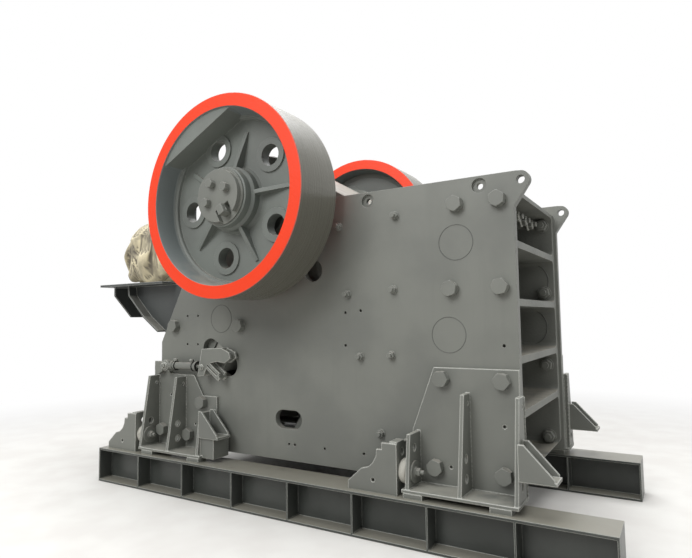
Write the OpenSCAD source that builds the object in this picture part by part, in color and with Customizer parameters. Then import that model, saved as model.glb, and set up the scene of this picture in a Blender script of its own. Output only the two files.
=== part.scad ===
// Single-toggle jaw crusher standing on its two delivery skids.
// X runs forwards to the fixed-jaw end, Y across to the left side, Z up.
// The origin is on the floor, under the middle of the whole machine.

/* [Skids] */
// Length of each skid beam
skid_len = 4370; // [4300:10:4700]
// Height of each skid beam
skid_h = 300; // [260:10:360]
// Flange width of each skid beam
skid_w = 276; // [250:2:300]
// Distance of each beam's middle outside its side plate
skid_out = 133; // [128:1:143]
// Thickness of the beam flanges
skid_flange_t = 18; // [12:1:25]
// Thickness of the beam web
skid_web_t = 12; // [8:1:20]
// Thickness of the upright stiffeners between the flanges
skid_rib_t = 12; // [8:1:16]
// Number of bays along each beam
skid_bays = 8; // [6:1:10]

/* [Side plates] */
// Clear width between the two side plates
inner_w = 1324; // [1310:2:1340]
// Thickness of each side plate
plate_t = 55; // [45:1:65]
// Height of the plates' lower edge above the floor
plate_bot_z = 357; // [356:1:365]
// Height of the plates' top edge
plate_top_z = 2402; // [2390:1:2420]
// Front edge of the plates
plate_front_x = 1634; // [1630:1:1645]
// Rear edge of the plates, as a distance behind the middle of the skids
plate_rear_x = 1660; // [1650:1:1670]
// Height at which the rear edge starts to lean forwards
plate_knee_z = 1273; // [1250:1:1300]
// Slope of the leaning rear edge from the floor
plate_lean = 62.3; // [60:0.1:65]
// Height of the lifting lug's hole
lug_z = 2342; // [2335:1:2345]
// Radius of the lifting lug
lug_r = 57; // [50:1:60]
// Radius of the lifting lug's hole
lug_hole_r = 27; // [20:1:32]
// Radius of the counterbored holes near the top edge
top_hole_r = 50; // [35:1:55]

/* [Frame castings] */
// Front face of the front casting's ribs
front_face_x = 1612; // [1600:1:1620]
// Top of the front casting
front_top_z = 2320; // [2310:1:2330]
// Underside of the front casting
front_bot_z = 380; // [370:1:385]
// Thickness of the front casting's horizontal ribs
rib_t = 48; // [40:1:56]
// Thickness of the front casting's top and bottom
front_skin_t = 30; // [25:1:34]
// Thickness of the castings' side flanges
flange_t = 60; // [50:1:70]
// Thickness of the front casting's inclined wall
front_wall_t = 80; // [60:1:90]
// Corner radius inside the pockets
pocket_r = 45; // [30:1:60]
// Radius of the big locking pins in the front casting
front_pin_r = 120; // [100:1:125]
// Radius of the big locking pin in the rear casting
rear_pin_r = 119; // [100:1:125]
// Width across corners of the frame bolts
bolt_d = 113; // [90:1:120]
// Height of the frame bolts' heads
bolt_head_t = 46; // [35:1:60]
// Thickness of the washers under the frame bolts
washer_t = 8; // [5:1:12]

/* [Jaws] */
// Lean of the fixed jaw from upright
fixed_lean = 5.6; // [5:0.1:6]
// Lean of the movable jaw from upright
swing_lean = 14.7; // [14:0.1:15.2]
// Thickness of each jaw die over its teeth
die_t = 125; // [110:1:130]
// Height of the teeth
tooth_h = 42; // [25:1:50]
// Number of teeth across each die
teeth = 12; // [8:1:14]
// Gap between the jaw dies and the cheek plates beside them
die_gap = 14; // [10:1:18]
// Thickness of the cheek plates
cheek_t = 45; // [35:1:47]
// Width across corners of the cheek plate bolts
cheek_bolt_d = 58; // [45:1:65]

/* [Shaft and flywheels] */
// Height of the shaft's centre line
shaft_z = 2400; // [2395:1:2405]
// Throw of the eccentric journal
throw = 16; // [12:1:18]
// Direction of the eccentric journal below the horizontal
throw_angle = 63; // [55:1:70]
// Radius of the eccentric journal
ecc_r = 190; // [180:1:200]
// Radius of the main journals
main_r = 160; // [150:1:168]
// Radius of the shaft ends that carry the flywheels
seat_r = 140; // [125:1:148]
// Outside radius of the flywheels
wheel_r = 776; // [760:1:790]
// Inside radius of the flywheel rims
rim_in_r = 674; // [660:1:690]
// Width of the flywheel rims
wheel_w = 441; // [420:1:450]
// Gap between the bearing covers and the flywheels
wheel_gap = 18; // [12:1:28]
// Thickness of the flywheel web
web_t = 60; // [45:1:70]
// Depth of the web below the rim's outer face
web_depth = 215; // [200:1:225]
// Radius of the flywheel hub
hub_r = 250; // [235:1:265]
// Radius of the five round holes in the web
wheel_hole_r = 82; // [60:1:90]
// Distance of the round holes from the shaft
wheel_hole_pcd = 459; // [450:1:475]
// Direction of the counterweight from the front, seen from the right side
weight_angle = 116.6; // [110:0.1:125]
// Distance of the counterweight's flat side from the shaft
weight_chord = 546; // [535:1:560]

/* [Pitman and toggle] */
// Outside radius of the pitman's bearing barrel
barrel_r = 365; // [355:1:365]
// Thickness of the pitman's front wall
pitman_wall = 110; // [90:1:130]
// Thickness of the pitman's ribs
pitman_rib_t = 56; // [40:1:70]
// Slope of the guard plate over the barrel
guard_slope = 30; // [28:1:32]
// Thickness of the guard plate
guard_t = 26; // [16:1:30]
// Slope of the toggle plate
toggle_slope = 32.7; // [31:0.1:34]
// Distance between the toggle seats
toggle_span = 770; // [750:1:780]
// Thickness of the toggle plate
toggle_t = 84; // [60:1:100]
// Width of the toggle plate
toggle_w = 900; // [700:10:1000]
// Room left at the pitman's toggle seat for the pitman's stroke
toggle_room = 40; // [38:1:48]

/* [Feet] */
// Distance of the outer gussets from the middle of the feet
foot_outer = 1655; // [1650:1:1660]
// Distance of the middle gussets
foot_mid = 1308; // [1290:1:1330]
// Distance of the short inner gussets
foot_inner = 953; // [945:1:960]
// Reach of the base plates out from the side plates
foot_reach = 236; // [220:1:240]
// Height of the tall gussets' tops
gusset_top_z = 972; // [940:1:1000]
// Thickness of the gussets and base plates
foot_t = 25; // [20:1:30]

/* [Motor bracket] */
// Rear end of the motor plate behind the middle of the skids
bracket_reach = 2465; // [2440:1:2500]
// Height of the motor plate's top
bracket_z = 1835; // [1820:1:1850]
// Half width of the motor plate
bracket_half_w = 810; // [790:5:830]
// Height of the wrapped motor
cover_h = 620; // [560:10:660]

/* [Hidden] */
$fn = 96;

paint = "#7b7d77";
skid_paint = "#6d706b";
bare_steel = "#9a9a94";
manganese = "#55534f";
rubber_grey = "#b4b3ab";
tan_cloth = "#b9ab93";

// Shift that puts the origin under the middle of the whole length
origin_x = (bracket_reach - skid_len / 2) / 2;
plate_in_y = inner_w / 2;
plate_out_y = plate_in_y + plate_t;
skid_y = plate_out_y + skid_out;
die_w = inner_w - 2 * (cheek_t + die_gap);
running_gap = 0.05;
fit_gap = 0.2;
seat_gap = 0.3;

// Shaft and its eccentric journal
shaft_x = -412;
ecc = [shaft_x + throw * cos(throw_angle), shaft_z - throw * sin(throw_angle)];
housing_r = 345;
housing_flange_r = 425;
housing_flange_t = 45;
housing_cover_r = 290;
housing_cover_t = 45;
housing_seal_t = 14;
wheel_face_y = plate_out_y + housing_flange_t + housing_cover_t + housing_seal_t + wheel_gap
    + wheel_w;
wheel_back_y = wheel_face_y - wheel_w;
barrel_half = plate_in_y - 37;
journal_half = barrel_half + 7;
shaft_end_y = wheel_face_y - 55;

// Side plate outline
lug_x = plate_front_x + 46;
lug_root_z = 2172;
lean_top_z = 2250;
lean_top_x = -plate_rear_x + (lean_top_z - plate_knee_z) / tan(plate_lean);
bolt_rows = [[1243, 1532, 2230], [1194, 1532, 1659], [1123, 1529, 1056], [1070, 1527, 471]];
front_pins = [[1236, 1971], [1170, 1347]];
rear_pin = [-910, 1481];
rear_bolts = [[-1474, 1422], [-688, 1421]];
rear_foot_bolts = [[-1611, 1043], [-1590, 487], [-1254, 471], [-1095, 757]];
top_holes = [[1408, 2337], [562, 2336]];
sight_hole = [65, 1845];
sight_r = 86;
tapped_r = 11;
tapped_depth = 35;
// Rectangle of tapped holes near the rear edge, and single ones over the plate
tapped_mid = [-1257, 1383];
tapped_pitch = [130, 254];
tapped_holes = concat(
    [for (i = [-0.5, 0.5], k = [-0.5, 0.5]) tapped_mid + [i * tapped_pitch[0], k * tapped_pitch[1]]],
    [[357, 1512], [488, 1524], [354, 1266], [465, 1192], [497, 484], [-182, 484], [-124, 484],
     [156, 484], [1540, 1278]]
);
cheek_holes = [
    [786, 2201], [762, 1669], [739, 1202], [641, 644], [308, 2168], [379, 1648], [482, 1186]
];

// Toggle line: starts at the pitman's seat and climbs to the rear
toggle_start = [-185, 676];
toggle_dir = [-cos(toggle_slope), sin(toggle_slope)];
slot_mid = 877;
slot_len = 440;
slot_w = 180;
beam_t = 130;
beam_h = 150;
beam_proud = 24;
wedge_t = 120;
seat_face = toggle_span + beam_t + wedge_t;

// Jaw faces: the fixed face stands behind the inner bolt column
wall_back = 150;
column_top = [bolt_rows[0][0], bolt_rows[0][2]];
fixed_top_z = 2240;
fixed_wall_x = column_top[0] - wall_back;
swing_top = [170, 2240];
die_len = 1800;

// Draws an outline in the X-Z plane and thickens it from y towards the right side
module upright(y, t) {
    translate([0, y, 0]) rotate([90, 0, 0]) linear_extrude(t) children();
}
module both_sides() {
    children();
    mirror([0, 1, 0]) children();
}
module in_place() {
    translate([origin_x, 0, 0]) children();
}
// Turned shape on the shaft line, growing outwards on the right side from y
module turned(x, y, z) {
    translate([x, -y, z]) rotate([90, 0, 0]) rotate_extrude() children();
}
module drum(x, y, z, r, h) {
    translate([x, -y, z]) rotate([90, 0, 0]) cylinder(r = r, h = h);
}
module slot2d(len, w) {
    square([len - w, w], center = true);
    for (side = [-1, 1]) translate([side * (len - w) / 2, 0]) circle(w / 2);
}
module rounded(w, h, r) {
    square([w - 2 * r, h], center = true);
    square([w, h - 2 * r], center = true);
    for (x = [-1, 1], z = [-1, 1]) translate([x * (w / 2 - r), z * (h / 2 - r)]) circle(r);
}
// Hexagon head or nut with a chamfered face, standing on z = 0
module hexagon(d, h) {
    chamfer = d * 0.05;
    intersection() {
        cylinder(d = d, h = h, $fn = 6);
        rotate_extrude() polygon([
            [0, 0], [d / 2 + 1, 0], [d / 2 + 1, h - chamfer * 0.8], [d / 2 - chamfer, h], [0, h]
        ]);
    }
}
module hex_bolt(x, y, z, d, head_t, ring_t, ring = 0.45, turn = 0) {
    drum(x, y, z, d * ring, ring_t);
    translate([x, -y - ring_t, z]) rotate([90, turn, 0]) hexagon(d, head_t);
}

// Skids

module beam() {
    reach = skid_w / 2 - skid_web_t / 2;
    pitch = skid_len / skid_bays;
    clear_h = skid_h - 2 * skid_flange_t;
    translate([0, -skid_y, 0]) {
        for (z = [0, skid_h - skid_flange_t])
            translate([-skid_len / 2, -skid_w / 2, z]) cube([skid_len, skid_w, skid_flange_t]);
        translate([-skid_len / 2, -skid_web_t / 2, skid_flange_t])
            cube([skid_len, skid_web_t, clear_h]);
        for (i = [0:skid_bays], side = [-1, 1]) {
            x = min(max(-skid_len / 2 + i * pitch, skid_rib_t / 2 - skid_len / 2),
                    skid_len / 2 - skid_rib_t / 2);
            translate([x - skid_rib_t / 2, side < 0 ? -skid_w / 2 : skid_web_t / 2, skid_flange_t])
                cube([skid_rib_t, reach, clear_h]);
        }
    }
}

// Side plates

module plate_outline() {
    difference() {
        union() {
            polygon([
                [-plate_rear_x, plate_bot_z], [plate_front_x, plate_bot_z],
                [plate_front_x, lug_root_z],
                [lug_x + lug_r * cos(-28), lug_z + lug_r * sin(-28)],
                [lug_x + lug_r, lug_z], [lug_x, lug_z + lug_r], [lug_x - 30, plate_top_z],
                [shaft_x - housing_r - 60, plate_top_z], [lean_top_x, lean_top_z],
                [-plate_rear_x, plate_knee_z]
            ]);
            translate([lug_x, lug_z]) circle(lug_r);
        }
        translate([lug_x, lug_z]) circle(lug_hole_r);
        translate([shaft_x, shaft_z]) circle(housing_r);
        for (p = front_pins) translate(p) circle(front_pin_r);
        translate(rear_pin) circle(rear_pin_r);
        translate(sight_hole) circle(sight_r);
        translate(toggle_start) slot2d(261, 147);
        translate(toggle_start + slot_mid * toggle_dir) rotate(-toggle_slope) slot2d(slot_len, slot_w);
    }
}
module plate() {
    difference() {
        upright(-plate_in_y, plate_t) plate_outline();
        for (p = tapped_holes) drum(p[0], plate_out_y - tapped_depth, p[1], tapped_r, 60);
        for (p = top_holes) {
            drum(p[0], plate_in_y + plate_t - 22, p[1], top_hole_r, 40);
            drum(p[0], plate_in_y - 5, p[1], 22, plate_t + 10);
        }
    }
}

// Front casting

function wall_x(z) = fixed_wall_x - (column_top[1] - z) * tan(fixed_lean);
rib_z = [1945, 1557, 1180, 825];
pocket_edges = [
    [front_bot_z + front_skin_t, rib_z[3] - rib_t / 2], [rib_z[3] + rib_t / 2, rib_z[2] - rib_t / 2],
    [rib_z[2] + rib_t / 2, rib_z[1] - rib_t / 2], [rib_z[1] + rib_t / 2, rib_z[0] - rib_t / 2],
    [rib_z[0] + rib_t / 2, front_top_z - front_skin_t]
];
front_toe_r = 90;
spot_r = 59;
spot_depth = 50;
cut_start = front_face_x - 712;
cut_reach = 900;

module front_outline() {
    polygon([
        [wall_x(front_bot_z), front_bot_z], [front_face_x - front_toe_r, front_bot_z],
        [front_face_x, front_bot_z + front_toe_r], [front_face_x, front_top_z],
        [wall_x(front_top_z), front_top_z]
    ]);
    translate([front_face_x - front_toe_r, front_bot_z + front_toe_r]) circle(front_toe_r);
}
module front_frame() color(paint) in_place() {
    pocket_w = inner_w - 2 * flange_t;
    difference() {
        upright(plate_in_y, inner_w) front_outline();
        // Pockets, open to the front and closed by the inclined wall
        for (e = pocket_edges) intersection() {
            translate([cut_start, 0, (e[0] + e[1]) / 2]) rotate([90, 0, 90])
                linear_extrude(cut_reach) rounded(pocket_w, e[1] - e[0], pocket_r);
            upright(plate_in_y, inner_w) polygon([
                [wall_x(0) + front_wall_t, 0], [2000, 0], [2000, 2600],
                [wall_x(2600) + front_wall_t, 2600]
            ]);
        }
        // Seats of the locking pins in the side flanges
        for (p = front_pins, side = [-1, 1])
            translate([p[0], side * (plate_in_y - flange_t / 2), p[1]])
                rotate([90, 0, 0])
                    cylinder(r = front_pin_r, h = flange_t + 2 * seat_gap, center = true);
        // Spot faces for the nuts, cut into the rounded corners
        for (i = [0:3], k = [0:1], side = [-1, 1])
            translate([bolt_rows[i][k], side * (pocket_w / 2 - spot_depth / 2), bolt_rows[i][2]])
                rotate([90, 0, 0]) cylinder(r = spot_r, h = spot_depth, center = true);
    }
}

// Rear casting

rear_top_z = 1600;
rear_bot_z = 420;
rear_wall_x = -plate_rear_x + 30;
face_mid = toggle_start + seat_face * toggle_dir;
face_dir = [sin(toggle_slope), cos(toggle_slope)];
face_up = face_mid + 190 * face_dir;
face_low = face_mid - 200 * face_dir;
rear_wall_front = -1110;
rear_wall_t = 80;
rear_pockets = [[470, 800], [860, 1180], [1240, 1540]];

module rear_outline() {
    polygon([
        [rear_wall_x, rear_bot_z], [rear_wall_front, rear_bot_z],
        [rear_wall_front, face_low[1] - 60], face_low, face_up,
        [-560, face_up[1] - 20], [-560, rear_top_z],
        [rear_wall_x + (rear_top_z - plate_knee_z) / tan(plate_lean), rear_top_z],
        [rear_wall_x, plate_knee_z]
    ]);
}
module rear_frame() color(paint) in_place() {
    pocket_w = inner_w - 2 * flange_t;
    difference() {
        upright(plate_in_y, inner_w) rear_outline();
        for (e = rear_pockets) intersection() {
            translate([-2 * cut_start, 0, (e[0] + e[1]) / 2]) rotate([90, 0, 90])
                linear_extrude(cut_reach) rounded(pocket_w, e[1] - e[0], pocket_r);
            upright(plate_in_y, inner_w) polygon([
                [-2000, 300], [rear_wall_front - rear_wall_t, 300],
                [rear_wall_front - rear_wall_t, face_low[1] - 30],
                face_low + rear_wall_t * toggle_dir, face_up + rear_wall_t * toggle_dir,
                face_up + rear_wall_t * toggle_dir + [0, 300], [-2000, 1700]
            ]);
        }
        for (side = [-1, 1]) {
            translate([rear_pin[0], side * (plate_in_y - flange_t / 2), rear_pin[1]])
                rotate([90, 0, 0])
                    cylinder(r = rear_pin_r, h = flange_t + 2 * seat_gap, center = true);
            translate([rear_wall_front, side * rod_y, rod_z]) rotate([0, 90, 0])
                cylinder(r = rod_r + 8, h = 3 * rear_wall_t, center = true);
        }
    }
}

// Locking pins, flush with the side plates
module frame_pins() color(paint) in_place() {
    both_sides() {
        for (p = front_pins)
            drum(p[0], plate_in_y - flange_t, p[1], front_pin_r - fit_gap, flange_t + plate_t);
        drum(rear_pin[0], plate_in_y - flange_t, rear_pin[1], rear_pin_r - fit_gap,
             flange_t + plate_t);
    }
}

module bolt_set() {
    low = plate_out_y + foot_t;
    for (i = [0:3], k = [0:1]) {
        x = bolt_rows[i][k];
        y = i > 1 ? low : plate_out_y;
        hex_bolt(x, y, bolt_rows[i][2], bolt_d, bolt_head_t, washer_t, turn = 25 + 17 * i + 9 * k);
    }
    for (p = rear_bolts)
        hex_bolt(p[0], plate_out_y, p[1], bolt_d, bolt_head_t, washer_t, turn = 12);
    for (p = rear_foot_bolts)
        hex_bolt(p[0], low, p[1], bolt_d, bolt_head_t, washer_t, 0.43, 30);
}

// Nuts on the inner faces of the castings and the row that clamps the fixed jaw
clamp_bolts = 5;
clamp_z = 2105;
module pocket_nuts() color(paint) in_place() {
    stud_r = 26;
    nut_d = bolt_d * 0.85;
    inner_y = plate_in_y - flange_t;
    both_sides() mirror([0, 1, 0]) for (i = [0:3], k = [0:1]) {
        x = bolt_rows[i][k];
        z = bolt_rows[i][2];
        translate([0, 2 * inner_y, 0]) {
            hex_bolt(x, inner_y, z, nut_d, bolt_head_t, washer_t, 0.58, 20 * i);
            drum(x, inner_y, z, stud_r, washer_t + bolt_head_t + 20);
        }
    }
    pitch = (inner_w - 2 * flange_t) / (clamp_bolts + 1);
    for (i = [1:clamp_bolts]) {
        y = -(inner_w / 2 - flange_t) + i * pitch;
        translate([wall_x(clamp_z) + front_wall_t + running_gap, y, clamp_z])
        rotate([0, 90 + fixed_lean, 0]) {
            cylinder(r = 55, h = washer_t);
            translate([0, 0, washer_t]) hexagon(88, 40);
            cylinder(r = 24, h = washer_t + 70);
        }
    }
}

// Feet

foot_shift = -10;
foot_top_z = 355;
foot_base_t = 20;
foot_plate_y = plate_out_y + foot_t;
module gusset(x, top_z, top_reach, low_holes) {
    outer = plate_out_y + foot_reach;
    translate([x + foot_t / 2, 0, 0]) rotate([90, 0, -90]) linear_extrude(foot_t) difference() {
        polygon([
            [foot_plate_y, foot_top_z], [outer - 4, foot_top_z],
            [foot_plate_y + top_reach, top_z], [foot_plate_y, top_z]
        ]);
        if (low_holes) {
            translate([foot_plate_y + 38, top_z - 62]) circle(13);
            translate([foot_plate_y + 98, foot_top_z + 90]) circle(27);
            translate([foot_plate_y + 98, foot_top_z + 216]) circle(27);
        } else {
            translate([foot_plate_y + 98, top_z - 95]) circle(24);
        }
    }
}
// Jack bracket: two triangular webs on a bottom plate, open along the slope
module jack_bracket(x, base_z) {
    run = 205;
    rise = 215;
    web = 16;
    depth = 150;
    y = foot_plate_y + foot_reach - foot_t - 12;
    for (off = [0, depth - web]) upright(-y + web + off, web) polygon([
        [x, base_z + 20], [x + run, base_z + 20], [x + run, base_z + 34], [x + 34, base_z + rise],
        [x, base_z + rise]
    ]);
    translate([x, -y, base_z]) cube([run + 12, depth, 20]);
}
module foot(outline, tapped) {
    base_y = plate_out_y + foot_reach;
    upright(-plate_out_y, foot_t) difference() {
        polygon(outline);
        for (p = tapped) translate(p) circle(tapped_r);
    }
    x0 = foot_inner - 37;
    translate([x0, -base_y, foot_top_z - foot_base_t])
        cube([foot_outer + foot_t / 2 - x0, base_y - plate_out_y, foot_base_t]);
    gusset(foot_outer, gusset_top_z, 110, true);
    gusset(foot_mid, gusset_top_z, 110, true);
    gusset(foot_inner, 700, 165, false);
}
module foot_front() {
    translate([foot_shift, 0, 0]) foot([
        [911, foot_top_z - foot_base_t], [plate_front_x - foot_shift, foot_top_z - foot_base_t],
        [plate_front_x - foot_shift, 1130], [1074, 1130], [911, 704]
    ], [[1543, 772], [1181, 479]]);
    jack_bracket(foot_shift + foot_outer + foot_t / 2, 500);
}
module foot_rear() {
    // The stock of the foot is the mirror image of the front one, with its own side plate
    translate([foot_shift, 0, 0]) mirror([1, 0, 0]) foot([
        [925, foot_top_z - foot_base_t], [1714, foot_top_z - foot_base_t], [1714, 1097],
        [1565, 1097], [1545, 1020], [1500, 990], [1201, 985], [1090, 812], [925, 812]
    ], [[1490, 800], [1180, 560]]);
    jack_bracket(foot_shift - foot_inner + foot_t / 2, 500);
    x = foot_shift - foot_inner + foot_t / 2;
    translate([x, -foot_plate_y - 175, foot_top_z - foot_base_t]) cube([150, 175, 165]);
}
// Welded pads that carry the feet on the beams
module foot_pads() color(paint) in_place() {
    pad_l = 132;
    pad_w = 200;
    gap = foot_top_z - foot_base_t - skid_h;
    both_sides() for (x = [foot_outer - 95, -foot_outer + 95], inner = [0, 1]) {
        px = inner == 0 ? x : sign(x) * (foot_inner + 40);
        translate([foot_shift + px - pad_l / 2, -plate_out_y - foot_reach, skid_h])
            cube([pad_l, inner == 0 ? pad_w + 20 : 90, gap]);
    }
}

// End stops and rubber buffers

buffer_y = skid_y;
buffer_disc_r = 72;
buffer_z = 450;
stop_y = skid_y + 90;
stop_w = stop_y - plate_out_y - 18;
stop_h = 335;
front_stop_x = foot_shift + foot_inner - foot_t / 2 - 62;
rear_stop_x = foot_shift - foot_outer - foot_t / 2 - 62;
module end_stop(face_x, outline) {
    // Plate on edge with a stepped back and an upright face plate
    upright(-stop_y + foot_t, foot_t) translate([face_x, 0]) difference() {
        polygon(outline);
        translate([-180, skid_h + 82]) circle(13);
    }
    translate([face_x - foot_t - 60, -stop_y, skid_h]) cube([60 + foot_t, stop_w, 25]);
    difference() {
        translate([face_x - foot_t, -stop_y, skid_h]) cube([foot_t, stop_w, stop_h]);
        translate([face_x - 2 * foot_t, -buffer_y, skid_h + stop_h - 62]) rotate([0, 90, 0])
            cylinder(r = 24, h = 3 * foot_t);
    }
    translate([face_x - 55, -stop_y + 10, skid_h + stop_h]) cube([55, 110, 12]);
}
stop_outline = [
    [-375, 0], [0, 0], [0, stop_h], [-110, stop_h], [-110, 290], [-150, 290], [-155, 240],
    [-180, 195], [-215, 165], [-270, 150], [-375, 55]
];
module end_stops() color(paint) in_place() {
    lifted = [for (p = stop_outline) [p[0], p[1] + skid_h]];
    both_sides() {
        end_stop(front_stop_x, lifted);
        end_stop(rear_stop_x, lifted);
    }
}
module rubber_buffers() color(rubber_grey) in_place() {
    both_sides() for (x = [front_stop_x, rear_stop_x])
        translate([x, -buffer_y, buffer_z]) rotate([0, 90, 0]) rotate_extrude()
            polygon([[0, 0], [70, 0], [80, 12], [84, 31], [80, 50], [70, 62], [0, 62]]);
}
module buffer_bolts() color(paint) in_place() {
    both_sides() for (x = [front_stop_x, rear_stop_x])
        translate([x + 62 + foot_t, -buffer_y, buffer_z]) rotate([0, 90, 0]) {
            cylinder(r = buffer_disc_r, h = 10);
            translate([0, 0, 10]) cylinder(r = 34, h = 8);
            translate([0, 0, 18]) hexagon(56, 26);
            cylinder(r = 15, h = 70);
        }
}

// Shaft line

module housing() {
    flange_y = plate_t + housing_flange_t;
    cover_y = flange_y + housing_cover_t;
    turned(shaft_x, plate_in_y, shaft_z) polygon([
        [main_r + running_gap, 0], [housing_r - fit_gap, 0], [housing_r - fit_gap, plate_t],
        [housing_flange_r, plate_t], [housing_flange_r, flange_y - 8],
        [housing_flange_r - 8, flange_y], [housing_cover_r, flange_y],
        [housing_cover_r, cover_y - 8], [housing_cover_r - 8, cover_y], [215, cover_y],
        [215, cover_y + housing_seal_t], [main_r + running_gap, cover_y + housing_seal_t]
    ]);
}
module eccentric_shaft() color(bare_steel) in_place() {
    drum(ecc[0], -journal_half, ecc[1], ecc_r, 2 * journal_half);
    both_sides() {
        drum(shaft_x, journal_half, shaft_z, main_r, wheel_back_y - journal_half);
        drum(shaft_x, wheel_back_y, shaft_z, seat_r, shaft_end_y - wheel_back_y);
    }
}

// Flywheel

module wheel_profile() {
    back = web_depth + web_t;
    polygon([
        [seat_r + running_gap, 55], [hub_r - 26, 55], [hub_r - 20, 61], [hub_r - 20, 120],
        [hub_r, 140], [hub_r, web_depth - 20], [hub_r + 20, web_depth],
        [rim_in_r - 40, web_depth], [rim_in_r - 36, web_depth - 22],
        [rim_in_r - 30, web_depth - 27], [rim_in_r - 20, web_depth - 30],
        [rim_in_r - 11, web_depth - 46], [rim_in_r, 8], [rim_in_r + 3, 0],
        [wheel_r - 4, 0], [wheel_r, 4], [wheel_r, wheel_w - 4], [wheel_r - 4, wheel_w],
        [rim_in_r + 3, wheel_w], [rim_in_r, wheel_w - 8], [rim_in_r - 12, back + 60],
        [rim_in_r - 22, back + 14], [rim_in_r - 60, back], [hub_r + 20, back],
        [hub_r, back + 20], [hub_r, wheel_w], [seat_r + running_gap, wheel_w]
    ]);
}
// Triangular web rib, tall at the hub and running out along the web
module wheel_rib(angle) {
    rib_w = 30;
    rotate(angle) translate([0, rib_w / 2, 0]) rotate([90, 0, 0]) linear_extrude(rib_w) polygon([
        [hub_r - 30, web_depth + 5], [hub_r - 30, 130], [hub_r + 30, 140],
        [530, web_depth - 14], [540, web_depth + 5]
    ]);
}
// The wheel is drawn with its outer face at local z = 0 and its back at wheel_w
module wheel() {
    difference() {
        union() {
            rotate_extrude() wheel_profile();
            intersection() {
                translate([0, 0, 16]) cylinder(r = rim_in_r, h = web_depth - 10);
                rotate(weight_angle) translate([weight_chord, -500, 0]) cube([200, 1000, web_depth]);
            }
            for (i = [0:4]) {
                wheel_rib(77.6 + 72 * i);
                rotate(113.6 + 72 * i) translate([wheel_hole_pcd, 0, web_depth - 14])
                    cylinder(r = wheel_hole_r + 48, h = web_t + 28);
            }
        }
        for (i = [0:4]) rotate(113.6 + 72 * i) translate([wheel_hole_pcd, 0, 150])
            cylinder(r = wheel_hole_r, h = 200);
    }
}
module mounted_wheel() {
    translate([shaft_x, -wheel_face_y, shaft_z]) rotate([-90, 0, 0]) mirror([0, 1, 0]) wheel();
}

cap_r = 200;
module shaft_caps() color(paint) in_place() {
    // End disc with a notch for the locking key, over a step that sits on the hub
    both_sides() difference() {
        union() {
            drum(shaft_x, wheel_face_y - 55, shaft_z, cap_r + 16, 14);
            drum(shaft_x, wheel_face_y - 41, shaft_z, cap_r, 41);
        }
        translate([shaft_x, -wheel_face_y - 20, shaft_z]) rotate([0, 62, 0])
            translate([95, 0, -70]) cube([140, 62, 140]);
    }
}
module cap_bolts() color(paint) in_place() {
    both_sides() for (a = [28, 118, 208, 298]) {
        y = a == 298 ? wheel_face_y - 42 : wheel_face_y;
        r = a == 298 ? 135 : 105;
        hex_bolt(shaft_x + r * cos(a), y, shaft_z + r * sin(a), 70, 38, 6, turn = a);
    }
}

// Pitman, drawn from the jaw face: u runs down the face, v behind it
function swing(u, v) = [
    swing_top[0] + u * sin(swing_lean) - v * cos(swing_lean),
    swing_top[1] - u * cos(swing_lean) - v * sin(swing_lean)
];
seat_fwd = [cos(toggle_slope), -sin(toggle_slope)];
module pitman_wall_outline() {
    polygon([
        swing(-70, die_t + seat_gap), swing(die_len + 10, die_t + seat_gap),
        swing(die_len + 10, die_t - 60),
        swing(die_len + 60, die_t - 60), swing(die_len + 60, die_t + pitman_wall),
        swing(-70, die_t + pitman_wall)
    ]);
}
module pitman_rib_outline() {
    seat_top = toggle_start + 150 * face_dir + 10 * seat_fwd;
    seat_low = toggle_start - 120 * face_dir + 10 * seat_fwd;
    polygon([
        swing(-60, die_t + 10), swing(-60, die_t + pitman_wall), ecc + [250, 100], ecc,
        ecc + [-310, -150],
        [-330, 980], seat_top, seat_low, swing(die_len + 50, die_t + 40)
    ]);
}
module pitman() color(paint) in_place() {
    rib_span = die_w / 2 - pitman_rib_t;
    difference() {
        union() {
            drum(ecc[0], 26 - barrel_half, ecc[1], barrel_r, 2 * barrel_half - 52);
            drum(ecc[0], -barrel_half, ecc[1], barrel_r - 70, 2 * barrel_half);
            upright(die_w / 2, die_w) pitman_wall_outline();
            for (i = [0:4]) upright(-rib_span + i * rib_span / 2 + pitman_rib_t / 2, pitman_rib_t)
                pitman_rib_outline();
            // Beam that holds the front toggle seat
            upright(rib_span, 2 * rib_span) polygon([
                toggle_start + 130 * face_dir, toggle_start - 110 * face_dir,
                toggle_start - 110 * face_dir + 110 * seat_fwd,
                toggle_start + 130 * face_dir + 110 * seat_fwd
            ]);
        }
        drum(ecc[0], -journal_half, ecc[1], ecc_r + running_gap, 2 * journal_half);
    }
    // Ears and pins for the tension rods
    ear_t = 20;
    ear_gap = eye_t / 2 + 6;
    for (side = [-1, 1]) translate([0, side * rod_y, 0]) {
        for (off = [ear_gap + ear_t, -ear_gap]) upright(off, ear_t) {
            polygon([
                rod_pin + [0, 34], toggle_start - 60 * face_dir + 20 * seat_fwd,
                toggle_start - 108 * face_dir + 80 * seat_fwd, rod_pin + [0, -34]
            ]);
        }
        for (off = [ear_gap + ear_t, -ear_gap]) upright(off, ear_t)
            translate(rod_pin) circle(34);
        upright(ear_gap + ear_t, 2 * (ear_gap + ear_t)) translate(rod_pin) circle(pin_r);
    }
}
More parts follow.
